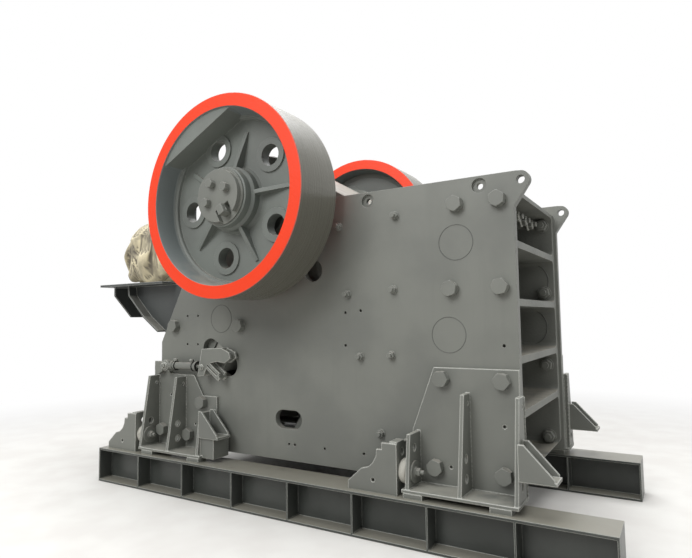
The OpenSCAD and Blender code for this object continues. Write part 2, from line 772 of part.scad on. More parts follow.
// Sloping plate that keeps feed off the barrel, on side gussets
module pitman_guard() color(paint) in_place() {
    guard_half = plate_in_y - 51;
    along = [cos(guard_slope), -sin(guard_slope)];
    out = [sin(guard_slope), cos(guard_slope)];
    top = ecc + (barrel_r + seat_gap) * out;
    nose = top + 675 * along;
    upright(guard_half, 2 * guard_half) polygon([
        top - 400 * along, nose, nose + guard_t * out, top - 400 * along + guard_t * out
    ]);
    for (side = [-1, 0, 1]) upright(side * (guard_half - 10) + 10, 20) difference() {
        polygon([
            top - 400 * along, nose, nose - 24 * out, swing(-70 - seat_gap, 55),
            swing(-70 - seat_gap, die_t + pitman_wall), ecc + [-300, 330]
        ]);
        translate(ecc) circle(barrel_r + 4);
    }
    upright(guard_half, 2 * guard_half) polygon([
        nose - 24 * out - 4 * along, nose + guard_t / 2 * out - 8 * along, swing(-95, 55),
        swing(-70 - seat_gap, 55)
    ]);
}

// Jaw dies

// Cross-section of a toothed die; the tips are at depth 0 and the back at die_t
module die_profile(shift) {
    pitch = die_w / teeth;
    flank = pitch * 0.16;
    crest = pitch * 0.26;
    points = [for (i = [0:teeth - 1]) let (x = -die_w / 2 + i * pitch + shift) each [
        [x + pitch / 2 - crest / 2 - flank, tooth_h], [x + pitch / 2 - crest / 2, 0],
        [x + pitch / 2 + crest / 2, 0], [x + pitch / 2 + crest / 2 + flank, tooth_h]
    ]];
    polygon(concat([[-die_w / 2, tooth_h]], points, [
        [die_w / 2, tooth_h], [die_w / 2, die_t], [-die_w / 2, die_t]
    ]));
}
module movable_jaw_die() color(manganese) in_place() {
    translate([swing_top[0], 0, swing_top[1]]) rotate([0, -swing_lean, 0]) rotate([0, 0, 90])
        translate([0, 0, -die_len]) linear_extrude(die_len) die_profile(0);
}
fixed_face = [
    wall_x(fixed_top_z) - (die_t + seat_gap) / cos(fixed_lean),
    fixed_top_z
];
module fixed_jaw_die() color(manganese) in_place() {
    translate([fixed_face[0], 0, fixed_face[1]]) rotate([0, fixed_lean, 0]) rotate([0, 0, -90])
        translate([0, 0, -die_len]) linear_extrude(die_len) die_profile(0);
}

// Cheek plates line the chamber in two rows a side
cheek_top_z = 2290;
cheek_split_z = 1430;
cheek_bot_z = 500;
function cheek_back(z) = swing_top[0] - 70 + (swing_top[1] - z) * tan(swing_lean);
module cheek(z0, z1) {
    upright(-plate_in_y + cheek_t, cheek_t) polygon([
        [cheek_back(z0), z0], [wall_x(z0) - 2, z0], [wall_x(z1) - 2, z1], [cheek_back(z1), z1]
    ]);
}
module cheek_plates() color(manganese) in_place() {
    both_sides() {
        cheek(cheek_bot_z, cheek_split_z - 3);
        cheek(cheek_split_z + 3, cheek_top_z);
    }
}
module cheek_bolts() color(paint) in_place() {
    both_sides() for (p = cheek_holes) {
        hex_bolt(p[0], plate_out_y, p[1], cheek_bolt_d, 26, 6, 0.56, p[0] % 60);
        drum(p[0], plate_out_y, p[1], 17, 54);
    }
}

// Toggle line, drawn with s along the toggle and v across it
function toggle_at(s, v) = toggle_start + s * toggle_dir + v * face_dir;
module toggle_plate() color(paint) in_place() {
    tip_r = 52;
    span = [toggle_room + tip_r, toggle_span - seat_gap - tip_r];
    upright(toggle_w / 2, toggle_w) polygon([
        toggle_at(span[0], -toggle_t / 2), toggle_at(span[1], -toggle_t / 2),
        toggle_at(span[1], toggle_t / 2), toggle_at(span[0], toggle_t / 2)
    ]);
    for (s = span) upright(toggle_w / 2, toggle_w) translate(toggle_at(s, 0)) circle(tip_r);
}
module toggle_beam() color(paint) in_place() {
    // Cross beam through the slots of both side plates, with the rear toggle seat
    end_y = plate_out_y + beam_proud;
    upright(end_y, 2 * end_y) polygon([
        toggle_at(toggle_span, -beam_h / 2), toggle_at(toggle_span + beam_t, -beam_h / 2),
        toggle_at(toggle_span + beam_t, beam_h / 2), toggle_at(toggle_span, beam_h / 2)
    ]);
    for (v = [-beam_h / 2, beam_h / 2 - 18]) upright(toggle_w / 2 + 30, toggle_w + 60) polygon([
        toggle_at(toggle_span - 36, v), toggle_at(toggle_span + 5, v),
        toggle_at(toggle_span + 5, v + 18), toggle_at(toggle_span - 36, v + 18)
    ]);
}
wedge_thin = 44;
wedge_thick = 76;
wedge_half = plate_in_y - 12;
// Places an outline drawn with x across the machine and y along the toggle line
module across_toggle(h) {
    at = toggle_at(toggle_span + beam_t, 0);
    translate([at[0], 0, at[1]]) rotate([0, toggle_slope, 0]) rotate([0, 0, 90])
        translate([0, 0, -h / 2]) linear_extrude(h) children();
}
module wedge_block() color(bare_steel) in_place() {
    across_toggle(220) polygon([
        [-wedge_half, 0], [wedge_half, 0], [wedge_half, wedge_thin], [0, wedge_thick],
        [-wedge_half, wedge_thin]
    ]);
}
module sliding_wedges() color(bare_steel) in_place() {
    slope = (wedge_thick - wedge_thin) / wedge_half;
    across_toggle(200) for (side = [-1, 1]) polygon([
        [side * 40, wedge_thick - 40 * slope], [side * wedge_half, wedge_thin],
        [side * wedge_half, wedge_t - seat_gap], [side * 40, wedge_t - seat_gap]
    ]);
}

// Tension rods hold the pitman against the toggle. Each has a round eye in front, which
// the pitman's pin circles in without touching, and a spring behind the casting's wall.
rod_y = 260;
rod_r = 27;
rod_z = 575;
pin_r = 20;
eye_r = 62;
eye_t = 50;
stroke_room = throw + 6;
// Middle of the circle that the pitman's pin runs on
eye_x = -350;
rod_pin = [eye_x + throw * cos(throw_angle), rod_z - throw * sin(throw_angle)];
spring_len = 240;
spring_seat_t = 22;
rod_wall = -(rear_wall_front - rear_wall_t) + eye_x;
module along_rod(side) {
    translate([eye_x, side * rod_y, rod_z]) rotate([0, -90, 0]) children();
}
module tension_rods() color(bare_steel) in_place() {
    seat_r2 = 88;
    nut_t = 30;
    for (side = [-1, 1]) along_rod(side) {
        difference() {
            union() {
                translate([0, eye_t / 2, 0]) rotate([90, 0, 0]) cylinder(r = eye_r, h = eye_t);
                cylinder(r = rod_r, h = rod_wall + spring_len + 150);
            }
            translate([0, eye_t, 0]) rotate([90, 0, 0])
                cylinder(r = pin_r + stroke_room, h = 2 * eye_t);
        }
        translate([0, 0, rod_wall]) cylinder(r = seat_r2, h = spring_seat_t);
        translate([0, 0, rod_wall + spring_seat_t + spring_len]) {
            cylinder(r = seat_r2, h = spring_seat_t);
            for (i = [0:1]) translate([0, 0, spring_seat_t + (nut_t + 4) * i]) hexagon(92, nut_t);
        }
    }
}
module rod_springs() color(paint) in_place() {
    coils = 7;
    wire = 13;
    pitch = (spring_len - 2 * wire) / (coils - 1);
    for (side = [-1, 1]) along_rod(side) translate([0, 0, rod_wall + spring_seat_t]) {
        for (i = [0:coils - 1]) translate([0, 0, wire + i * pitch])
            rotate_extrude() translate([62, 0]) circle(wire, $fn = 24);
        difference() {
            cylinder(r = 54, h = spring_len);
            translate([0, 0, -1]) cylinder(r = 47, h = spring_len + 2);
        }
    }
}

// Wedge adjuster outside each side plate

adj_y = plate_out_y + 73;
cyl_z = 1083;
cyl_r = 33;
adj_plate_t = 20;
adj_in_y = plate_out_y + beam_proud + seat_gap;
adj_pin_x = -1022;
adj_out_y = adj_y + 22;
adj_pin_r = 14;
module adjuster_set() {
    // Two bracket plates over the slot, bridged on top, and a link down into the slot
    for (y = [adj_in_y, adj_out_y]) upright(-y, adj_plate_t) difference() {
        polygon([
            [-1076, 988], [-1000, 996], [-960, 1098], [-850, 1120], [-760, 1110], [-700, 1150],
            [-712, 1196], [-800, 1235], [-1024, 1225]
        ]);
        translate([adj_pin_x, cyl_z - 14]) circle(adj_pin_r + fit_gap);
    }
    upright(-adj_in_y, adj_out_y - adj_in_y)
        polygon([[-1024, 1195], [-800, 1205], [-800, 1235], [-1024, 1225]]);
    for (y = [adj_in_y, adj_out_y]) upright(-y, adj_plate_t) for (drop = [0, 46])
        translate([-978, 1106 - drop]) rotate(-35) square([178, 24]);
    drum(-842, adj_in_y, 990, 17, adj_out_y + adj_plate_t - adj_in_y);
    // Lug that carries the cylinder's rear eye
    upright(-plate_out_y, adj_y - plate_out_y + 30)
        polygon([[-1540, 1035], [-1478, 1035], [-1478, 1105], [-1540, 1105]]);
}
module adjusting_cylinders() color(paint) in_place() {
    both_sides() {
        translate([-1478, -adj_y, cyl_z - 14]) rotate([0, 90, 0]) {
            cylinder(r = 20, h = 40);
            translate([0, 0, 40]) cylinder(r = cyl_r + 7, h = 26);
            translate([0, 0, 66]) cylinder(r = cyl_r, h = 270);
            translate([0, 0, 336]) cylinder(r = cyl_r + 9, h = 24);
            cylinder(r = 15, h = adj_pin_x + 1478);
        }
        drum(adj_pin_x, adj_y - 18, cyl_z - 14, 28, 36);
        drum(adj_pin_x, adj_in_y, cyl_z - 14, adj_pin_r, adj_out_y + adj_plate_t - adj_in_y);
        for (x = [-1390, -1190]) translate([x, -adj_y, cyl_z + 12]) cylinder(r = 11, h = 36);
    }
}

// Motor bracket behind the rear casting and the wrapped motor on it

web_y = plate_in_y - 22;
web_plate_t = 25;
deck_t = 22;
lip_w = 90;
lip_t = 16;
deck_z = bracket_z - deck_t;
// Rear and lower edge of each web, with a lip along it
web_edge = [[-2150, deck_z], [-2136, 1719], [-1913, 1502], [-1713, 1366], [-1650, 1330]];
module motor_bracket() color(paint) in_place() {
    lean_x = function(z) rear_wall_x - fit_gap + (z - plate_knee_z) / tan(plate_lean);
    translate([-bracket_reach, -bracket_half_w, deck_z])
        cube([bracket_reach - 1560, 2 * bracket_half_w, deck_t]);
    both_sides() {
        upright(-web_y + web_plate_t, web_plate_t) polygon(concat(web_edge, [
            [lean_x(1330), 1330], [lean_x(rear_top_z), rear_top_z], [-1440, deck_z]
        ]));
        upright(-web_y, lip_w) polygon(concat(
            [for (i = [0:3]) web_edge[i]],
            [for (i = [3:-1:0]) web_edge[i] + lip_t * (i < 2 ? [1, 0.2] : [0.6, 0.8])]
        ));
    }
    // End plate with slanted lower corners, and the cross member between the webs
    end_y = web_y + web_plate_t;
    translate([20 - bracket_reach, 0, 0]) rotate([90, 0, 90]) linear_extrude(deck_t) polygon([
        [-end_y, deck_z], [-end_y, 1729], [-end_y + 199, 1512], [end_y - 199, 1512],
        [end_y, 1729], [end_y, deck_z]
    ]);
    translate([-1900, -web_y + web_plate_t, deck_z - 160])
        cube([web_plate_t, 2 * (web_y - web_plate_t), 160]);
}
// Simple closed solid under the cloth wrapping of the motor
cover_x = -2115;
cover_y = -60;
cover_half = [350, 630];
cover_cut = [150, 210];
module motor_cover() color(tan_cloth) in_place() {
    a = cover_half;
    b = cover_half - cover_cut;
    intersection() {
        translate([cover_x, 0, bracket_z]) upright(cover_half[1] - cover_y, 2 * cover_half[1])
            polygon([
                [-240, 0], [-340, 150], [-350, 330], [-250, 520], [-90, cover_h], [110, cover_h],
                [250, 520], [340, 330], [330, 150], [240, 0]
            ]);
        translate([cover_x, cover_y, bracket_z]) linear_extrude(cover_h) polygon([
            [-a[0], -b[1]], [-b[0], -a[1]], [b[0], -a[1]], [a[0], -b[1]],
            [a[0], b[1]], [b[0], a[1]], [-b[0], a[1]], [-a[0], b[1]]
        ]);
    }
}

// Right and left nodes

module skid_beam_right() color(skid_paint) in_place() beam();
module skid_beam_left() color(skid_paint) in_place() mirror([0, 1, 0]) beam();
module side_plate_right() color(paint) in_place() plate();
module side_plate_left() color(paint) in_place() mirror([0, 1, 0]) plate();
module frame_bolts_right() color(paint) in_place() bolt_set();
module frame_bolts_left() color(paint) in_place() mirror([0, 1, 0]) bolt_set();
module front_foot_right() color(paint) in_place() foot_front();
module front_foot_left() color(paint) in_place() mirror([0, 1, 0]) foot_front();
module rear_foot_right() color(paint) in_place() foot_rear();
module rear_foot_left() color(paint) in_place() mirror([0, 1, 0]) foot_rear();
module bearing_housing_right() color(paint) in_place() housing();
module bearing_housing_left() color(paint) in_place() mirror([0, 1, 0]) housing();
module flywheel_right() color(paint) in_place() mounted_wheel();
module flywheel_left() color(paint) in_place() mirror([0, 1, 0]) mounted_wheel();
module adjuster_right() color(paint) in_place() adjuster_set();
module adjuster_left() color(paint) in_place() mirror([0, 1, 0]) adjuster_set();

skid_beam_right();
skid_beam_left();
side_plate_right();
side_plate_left();
front_frame();
rear_frame();
frame_pins();
frame_bolts_right();
frame_bolts_left();
pocket_nuts();
front_foot_right();
front_foot_left();
rear_foot_right();
rear_foot_left();
foot_pads();
end_stops();
rubber_buffers();
buffer_bolts();
bearing_housing_right();
bearing_housing_left();
eccentric_shaft();
flywheel_right();
flywheel_left();
shaft_caps();
cap_bolts();
pitman();
pitman_guard();
movable_jaw_die();
fixed_jaw_die();
cheek_plates();
cheek_bolts();
toggle_plate();
toggle_beam();
wedge_block();
sliding_wedges();
tension_rods();
rod_springs();
adjuster_right();
adjuster_left();
adjusting_cylinders();
motor_bracket();
motor_cover();
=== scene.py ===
import math
import random

import bmesh
import bpy
from bpy.props import FloatProperty, IntProperty, PointerProperty, StringProperty
from mathutils import Matrix, Vector, noise


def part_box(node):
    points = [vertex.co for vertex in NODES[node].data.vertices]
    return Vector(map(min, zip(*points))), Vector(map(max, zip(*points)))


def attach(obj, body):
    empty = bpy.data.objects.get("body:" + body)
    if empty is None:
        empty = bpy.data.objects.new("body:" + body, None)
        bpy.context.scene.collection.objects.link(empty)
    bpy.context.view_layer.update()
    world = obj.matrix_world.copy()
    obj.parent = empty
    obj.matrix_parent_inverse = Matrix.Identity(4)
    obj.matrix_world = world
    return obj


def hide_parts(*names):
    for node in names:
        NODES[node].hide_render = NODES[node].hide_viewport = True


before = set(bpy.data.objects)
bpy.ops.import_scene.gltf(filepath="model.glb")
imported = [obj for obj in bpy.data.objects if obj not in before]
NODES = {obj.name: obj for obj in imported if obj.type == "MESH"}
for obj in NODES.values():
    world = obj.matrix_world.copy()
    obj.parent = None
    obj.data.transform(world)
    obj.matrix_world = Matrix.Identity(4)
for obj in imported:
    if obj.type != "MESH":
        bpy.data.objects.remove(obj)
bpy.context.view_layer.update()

bl_info = {
    "name": "Jaw crusher dressing",
    "version": (1, 0, 0),
    "blender": (4, 5, 0),
    "location": "3D View > Sidebar > Crusher",
    "description": "Finishes, weld seams, fasteners and wrapping for the jaw crusher",
    "category": "Object",
}

MM = 0.001
# The two sides of the machine along Y, each with its word in the pieces' names
SIDES = ((-1, "right"), (1, "left"))

# Where the CAD pieces are that the new ones sit on, in metres in the row frame: the shaft's
# centre line, the side plates' outer faces, the inner faces of the front casting's flanges,
# the outer faces of the feet's plates, the top of their base plates, and the skid beams
SHAFT = Vector((-0.272, 0.0, 2.4))
PLATE_OUT = 0.717
FLANGE_IN = 0.602
FOOT_OUT = PLATE_OUT + 0.025
FOOT_BASE = 0.356
BEAM_START, BEAM_LENGTH, BEAM_Y = -2.045, 4.370, 0.85

# Feet, in millimetres: their middle along X, each gusset's distance from it and its height,
# how far a bead lies from a gusset's middle, and the two ends of the seam along the plate
FEET_MID = 130
GUSSETS = ((1655, 972), (1308, 972), (953, 700))
GUSSET_FLANK = 13.5
PLATE_SEAM = (918, 1665)

# Flywheel rims as radii about the shaft: the turned outside, the inner wall and the painted face
RIM_OUTSIDE = (0.768, 0.772)
RIM_WALL = ((0.655, 0.660), (0.685, 0.680))
RIM_FACE = (0.6755, 0.6768)


# Colours and shader nodes

NOISE, MATH, BUMP = "ShaderNodeTexNoise", "ShaderNodeMath", "ShaderNodeBump"
RANGE, MIX, VECTOR = "ShaderNodeMapRange", "ShaderNodeMix", "ShaderNodeVectorMath"
COORDS, SPLIT, MAPPING = "ShaderNodeTexCoord", "ShaderNodeSeparateXYZ", "ShaderNodeMapping"
SMOOTH = {"interpolation_type": "SMOOTHSTEP"}
COLOUR = {"data_type": "RGBA"}
TIMES = {"operation": "MULTIPLY"}
TIMES_PLUS = {"operation": "MULTIPLY_ADD"}


def linear(hex_colour):
    """Turns an sRGB hex colour into the linear RGBA that a shader socket takes."""
    parts = [int(hex_colour[i:i + 2], 16) / 255 for i in (1, 3, 5)]
    return tuple(c / 12.92 if c <= 0.04045 else ((c + 0.055) / 1.055) ** 2.4
                 for c in parts) + (1.0,)


def put(tree, kind, values=None, **settings):
    """Adds a shader node with its settings, and fills or links its sockets.

    A value is a constant, an sRGB hex colour, a socket, or a node, whose first live output
    is linked.
    """
    node = tree.nodes.new(kind)
    for name, value in settings.items():
        setattr(node, name, value)
    for name, value in (values or {}).items():
        if isinstance(value, bpy.types.Node):
            value = next(out for out in value.outputs if out.enabled)
        if isinstance(value, bpy.types.NodeSocket):
            tree.links.new(value, node.inputs[name])
        else:
            node.inputs[name].default_value = linear(value) if isinstance(value, str) else value
    return node


def grain(size_mm):
    """Scale of a pattern on Object coordinates whose grains are size_mm across."""
    return 1.0 / (size_mm * MM)


def blank(name):
    """A new material with an empty tree; returns (material, tree)."""
    mat = bpy.data.materials.new(name)
    mat.use_nodes = True
    mat.node_tree.nodes.clear()
    return mat, mat.node_tree


def finish_material(tree, colour, rough, normal, **constants):
    """Ends a tree in one Principled shader; constants are set on its own sockets."""
    values = {"Base Color": colour, "Roughness": rough, "Normal": normal}
    values.update({name.replace("_", " "): value for name, value in constants.items()})
    shader = put(tree, "ShaderNodeBsdfPrincipled", values)
    put(tree, "ShaderNodeOutputMaterial", {"Surface": shader})


# The corner mask carries worn edges together with a painted highlight along them
def corner_wear_and_highlight(tree, width_mm):
    """1 on outer corners and 0 on flats, and the rounded normal that tells them apart."""
    rounded = put(tree, "ShaderNodeBevel", {"Radius": width_mm * MM}, samples=6)
    face = put(tree, "ShaderNodeNewGeometry")
    same = put(tree, VECTOR, {0: rounded, 1: face.outputs["Normal"]}, operation="DOT_PRODUCT")
    corner = put(tree, RANGE, {"Value": same.outputs["Value"], "From Min": 0.985,
                               "From Max": 0.86}, **SMOOTH)
    return corner, rounded


# Machine enamel, sprayed and rolled over cast and welded steel. It gives the eye a soft satin
# grey with faint patches, a fine orange-peel skin, corners brighter with wear and with a painted
# highlight, and pale workshop dust on what looks up, which is also painted top light. The orange
# peel is drawn at 2.4 mm, coarser than it is, so that it shows.
def machine_enamel(name, base, shade, dust_and_top_light, edge_wear_and_highlight, rough=0.5, dust_and_top_light_amount=0.6, cast=0.0,
                   edge_mm=5.0, edge_gaps=0.30, even_dust_and_top_light=0.0, face_ring=None, turned=None,
                   inner_wall_reflection=None):
    mat, tree = blank(name)
    at = put(tree, COORDS)
    place = at.outputs["Object"]
    face = put(tree, SPLIT, {0: at.outputs["Normal"]})
    # A thinner coat in patches, and faint runs a hand wide down the walls
    blotch = put(tree, NOISE, {"Vector": place, "Scale": grain(625), "Detail": 5.0})
    thin = put(tree, RANGE, {"Value": blotch, "From Min": 0.38, "From Max": 0.66}, **SMOOTH)
    colour = put(tree, MIX, {0: thin, 6: base, 7: shade}, **COLOUR)
    runs = put(tree, MAPPING, {"Vector": place,
                               "Scale": (grain(111.1), grain(111.1), grain(1429))})
    streak = put(tree, NOISE, {"Vector": runs, "Scale": 1.0, "Detail": 3.0})
    wash = put(tree, RANGE, {"Value": streak, "From Min": 0.5, "From Max": 0.75,
                             "To Max": 0.28}, **SMOOTH)
    colour = put(tree, MIX, {0: wash, 6: colour, 7: shade}, **COLOUR)
    roughness = put(tree, MATH, {0: streak, 1: 0.12, 2: rough - 0.06}, **TIMES_PLUS)
    if turned or face_ring:
        centred = put(tree, MAPPING, {"Vector": place, "Location": (-SHAFT.x, 0.0, -SHAFT.z),
                                      "Scale": (1.0, 0.0, 1.0)})
        radius = put(tree, VECTOR, {0: centred}, operation="LENGTH").outputs["Value"]
        across = put(tree, MATH, {0: face.outputs["Y"]}, operation="ABSOLUTE")
        round_face = put(tree, RANGE, {"Value": across, "From Min": 0.6, "From Max": 0.4},
                         **SMOOTH)
    if turned:
        # The rims are turned outside: a warmer coat with more sheen, in fine bands
        outer = put(tree, RANGE, {"Value": radius, "From Min": RIM_OUTSIDE[0],
                                  "From Max": RIM_OUTSIDE[1]}, **SMOOTH)
        outside = put(tree, MATH, {0: outer, 1: round_face}, **TIMES)
        colour = put(tree, MIX, {0: outside, 6: colour, 7: turned}, **COLOUR)
        along = put(tree, SPLIT, {0: place}).outputs["Y"]
        bands = put(tree, NOISE, {"Vector": along, "Scale": grain(3.846), "Detail": 2.0})
        banded = put(tree, MATH, {0: bands, 1: 0.16, 2: 0.20}, **TIMES_PLUS)
        roughness = put(tree, MIX, {0: outside, 2: roughness, 3: banded})
    if inner_wall_reflection:
        # The rims' inner walls turn a cooler slate grey: a painted bluish reflection
        wall = round_face
        for start, end in RIM_WALL:
            reach = put(tree, RANGE, {"Value": radius, "From Min": start, "From Max": end},
                        **SMOOTH)
            wall = put(tree, MATH, {0: reach, 1: wall}, **TIMES)
        colour = put(tree, MIX, {0: wall, 6: colour, 7: inner_wall_reflection}, **COLOUR)
    # Pale dust on what looks up, thicker in some places than in others; it is also painted top
    # light
    settled = put(tree, RANGE, {"Value": face.outputs["Z"], "From Min": 0.55, "From Max": 0.95,
                                "To Max": dust_and_top_light_amount}, **SMOOTH)
    patch_noise = put(tree, NOISE, {"Vector": place, "Scale": grain(142.86), "Detail": 6.0})
    patchy = put(tree, RANGE, {"Value": patch_noise, "From Min": 0.2 - even_dust_and_top_light,
                               "From Max": 0.6 - even_dust_and_top_light}, **SMOOTH)
    settled = put(tree, MATH, {0: settled, 1: patchy}, **TIMES)
    colour = put(tree, MIX, {0: settled, 6: colour, 7: dust_and_top_light}, **COLOUR)
    # Corners lighter: partly wear chips, partly a painted highlight along the edges
    corner, rounded = corner_wear_and_highlight(tree, edge_mm)
    chips = put(tree, NOISE, {"Vector": place, "Scale": grain(26.316), "Detail": 4.0})
    chipped = put(tree, RANGE, {"Value": chips, "From Min": edge_gaps, "From Max": edge_gaps + 0.3,
                                "To Max": 0.8}, **SMOOTH)
    edge_wear_and_highlight_share = put(tree, MATH, {0: corner, 1: chipped}, **TIMES)
    if face_ring:
        # Orange safety enamel on both faces of each rim, which is fresh: no wear and no painted
        # highlight
        flat = put(tree, RANGE, {"Value": across, "From Min": 0.62, "From Max": 0.8}, **SMOOTH)
        ring = put(tree, RANGE, {"Value": radius, "From Min": RIM_FACE[0],
                                 "From Max": RIM_FACE[1]}, **SMOOTH)
        ring = put(tree, MATH, {0: ring, 1: flat}, **TIMES)
        colour = put(tree, MIX, {0: ring, 6: colour, 7: face_ring}, **COLOUR)
        roughness = put(tree, MIX, {0: ring, 2: roughness, 3: 0.4})
        edge_wear_and_highlight_share = put(tree, MIX, {0: ring, 2: edge_wear_and_highlight_share, 3: 0.0})
    colour = put(tree, MIX, {0: edge_wear_and_highlight_share, 6: colour, 7: edge_wear_and_highlight}, **COLOUR)
    peel = put(tree, NOISE, {"Vector": place, "Scale": grain(2.381), "Detail": 2.0})
    skin = put(tree, BUMP, {"Height": peel, "Distance": 0.4 * MM, "Strength": 0.35,
                            "Normal": rounded})
    if cast:
        # Sand-cast skin, its grains and dents drawn 17 mm across so that they show
        sand = put(tree, NOISE, {"Vector": place, "Scale": grain(16.667), "Detail": 5.0})
        skin = put(tree, BUMP, {"Height": sand, "Distance": 4 * MM, "Strength": cast,
                                "Normal": skin})
    waves = put(tree, BUMP, {"Height": blotch, "Distance": 20 * MM, "Strength": 0.18,
                             "Normal": skin})
    finish_material(tree, colour, roughness, waves, Specular_IOR_Level=0.42)
    return mat


# As-cast manganese steel, oiled against rust. Dark, mottled and granular, with painted corner
# highlights.
def manganese_steel(name, base, shade, edge_wear_and_highlight):
    mat, tree = blank(name)
    place = put(tree, COORDS).outputs["Object"]
    mottle = put(tree, NOISE, {"Vector": place, "Scale": grain(111.1), "Detail": 8.0})
    share = put(tree, RANGE, {"Value": mottle, "From Min": 0.35, "From Max": 0.65}, **SMOOTH)
    colour = put(tree, MIX, {0: share, 6: base, 7: shade}, **COLOUR)
    corner, rounded = corner_wear_and_highlight(tree, 6.0)
    # Painted highlight on the corners
    bright = put(tree, MATH, {0: corner, 1: 0.6}, **TIMES)
    colour = put(tree, MIX, {0: bright, 6: colour, 7: edge_wear_and_highlight}, **COLOUR)
    sand = put(tree, NOISE, {"Vector": place, "Scale": grain(11.11), "Detail": 6.0})
    skin = put(tree, BUMP, {"Height": sand, "Distance": 3 * MM, "Strength": 0.6,
                            "Normal": rounded})
    roughness = put(tree, MATH, {0: mottle, 1: 0.25, 2: 0.42}, **TIMES_PLUS)
    finish_material(tree, colour, roughness, skin, Metallic=0.35)
    return mat


# Turned and ground steel under a film of oil. Bright, with fine rings from the lathe, drawn
# 4 mm apart, which is coarser than they are, so that they show.
def machined_steel(name, base, shade):
    mat, tree = blank(name)
    place = put(tree, COORDS).outputs["Object"]
    lines = put(tree, MAPPING, {"Vector": place,
                                "Scale": (grain(333.3), grain(4.1667), grain(333.3))})
    rings = put(tree, NOISE, {"Vector": lines, "Scale": 1.0, "Detail": 3.0})
    film = put(tree, NOISE, {"Vector": place, "Scale": grain(200), "Detail": 6.0})
    share = put(tree, RANGE, {"Value": film, "From Min": 0.4, "From Max": 0.7}, **SMOOTH)
    colour = put(tree, MIX, {0: share, 6: base, 7: shade}, **COLOUR)
    rounded = corner_wear_and_highlight(tree, 2.0)[1]
    skin = put(tree, BUMP, {"Height": rings, "Distance": 0.3 * MM, "Strength": 0.4,
                            "Normal": rounded})
    roughness = put(tree, MATH, {0: film, 1: 0.22, 2: 0.24}, **TIMES_PLUS)
    finish_material(tree, colour, roughness, skin, Metallic=0.9)
    return mat


# Moulded pale rubber. Matt, with a dusty bloom in patches.
def moulded_rubber(name, base, shade):
    mat, tree = blank(name)
    place = put(tree, COORDS).outputs["Object"]
    bloom = put(tree, NOISE, {"Vector": place, "Scale": grain(45.455), "Detail": 5.0})
    share = put(tree, RANGE, {"Value": bloom, "From Min": 0.35, "From Max": 0.7}, **SMOOTH)
    colour = put(tree, MIX, {0: share, 6: base, 7: shade}, **COLOUR)
    skin = put(tree, BUMP, {"Height": bloom, "Distance": 1 * MM, "Strength": 0.4})
    roughness = put(tree, MATH, {0: bloom, 1: 0.15, 2: 0.68}, **TIMES_PLUS)
    finish_material(tree, colour, roughness, skin)
    return mat


# Woven wrapping cloth, of coarse pale tape yarns. It gives the eye a dry, crumpled tan skin,
# with painted light on its crests and painted shade in its folds. The weave is drawn at 18 mm,
# coarser than it is, so that it shows.
def woven_cloth(name, crest, fold_shade, thread):
    mat, tree = blank(name)
    at = put(tree, COORDS)
    # At a scale of 1 the bands of a wave texture lie a twentieth of a full turn apart
    bands = {"Vector": at.outputs["UV"], "Scale": math.tau / 20 / thread}
    warp = put(tree, "ShaderNodeTexWave", bands, bands_direction="X").outputs["Fac"]
    weft = put(tree, "ShaderNodeTexWave", bands, bands_direction="Y").outputs["Fac"]
    weave = put(tree, MATH, {0: warp, 1: weft}, **TIMES)
    stain = put(tree, NOISE, {"Vector": at.outputs["Object"], "Scale": grain(166.67),
                              "Detail": 6.0})
    clean = put(tree, RANGE, {"Value": stain, "From Min": 0.25, "From Max": 0.6}, **SMOOTH)
    # Painted light on the crests, painted shade in the folds, and stains take the dark colour
    raised = put(tree, "ShaderNodeAttribute", attribute_name="crest").outputs["Fac"]
    share = put(tree, MATH, {0: raised, 1: clean}, **TIMES)
    colour = put(tree, MIX, {0: share, 6: fold_shade, 7: crest}, **COLOUR)
    skin = put(tree, BUMP, {"Height": weave, "Distance": 1.5 * MM, "Strength": 0.5})
    roughness = put(tree, MATH, {0: stain, 1: 0.12, 2: 0.78}, **TIMES_PLUS)
    finish_material(tree, colour, roughness, skin, Sheen_Weight=0.12)
    return mat


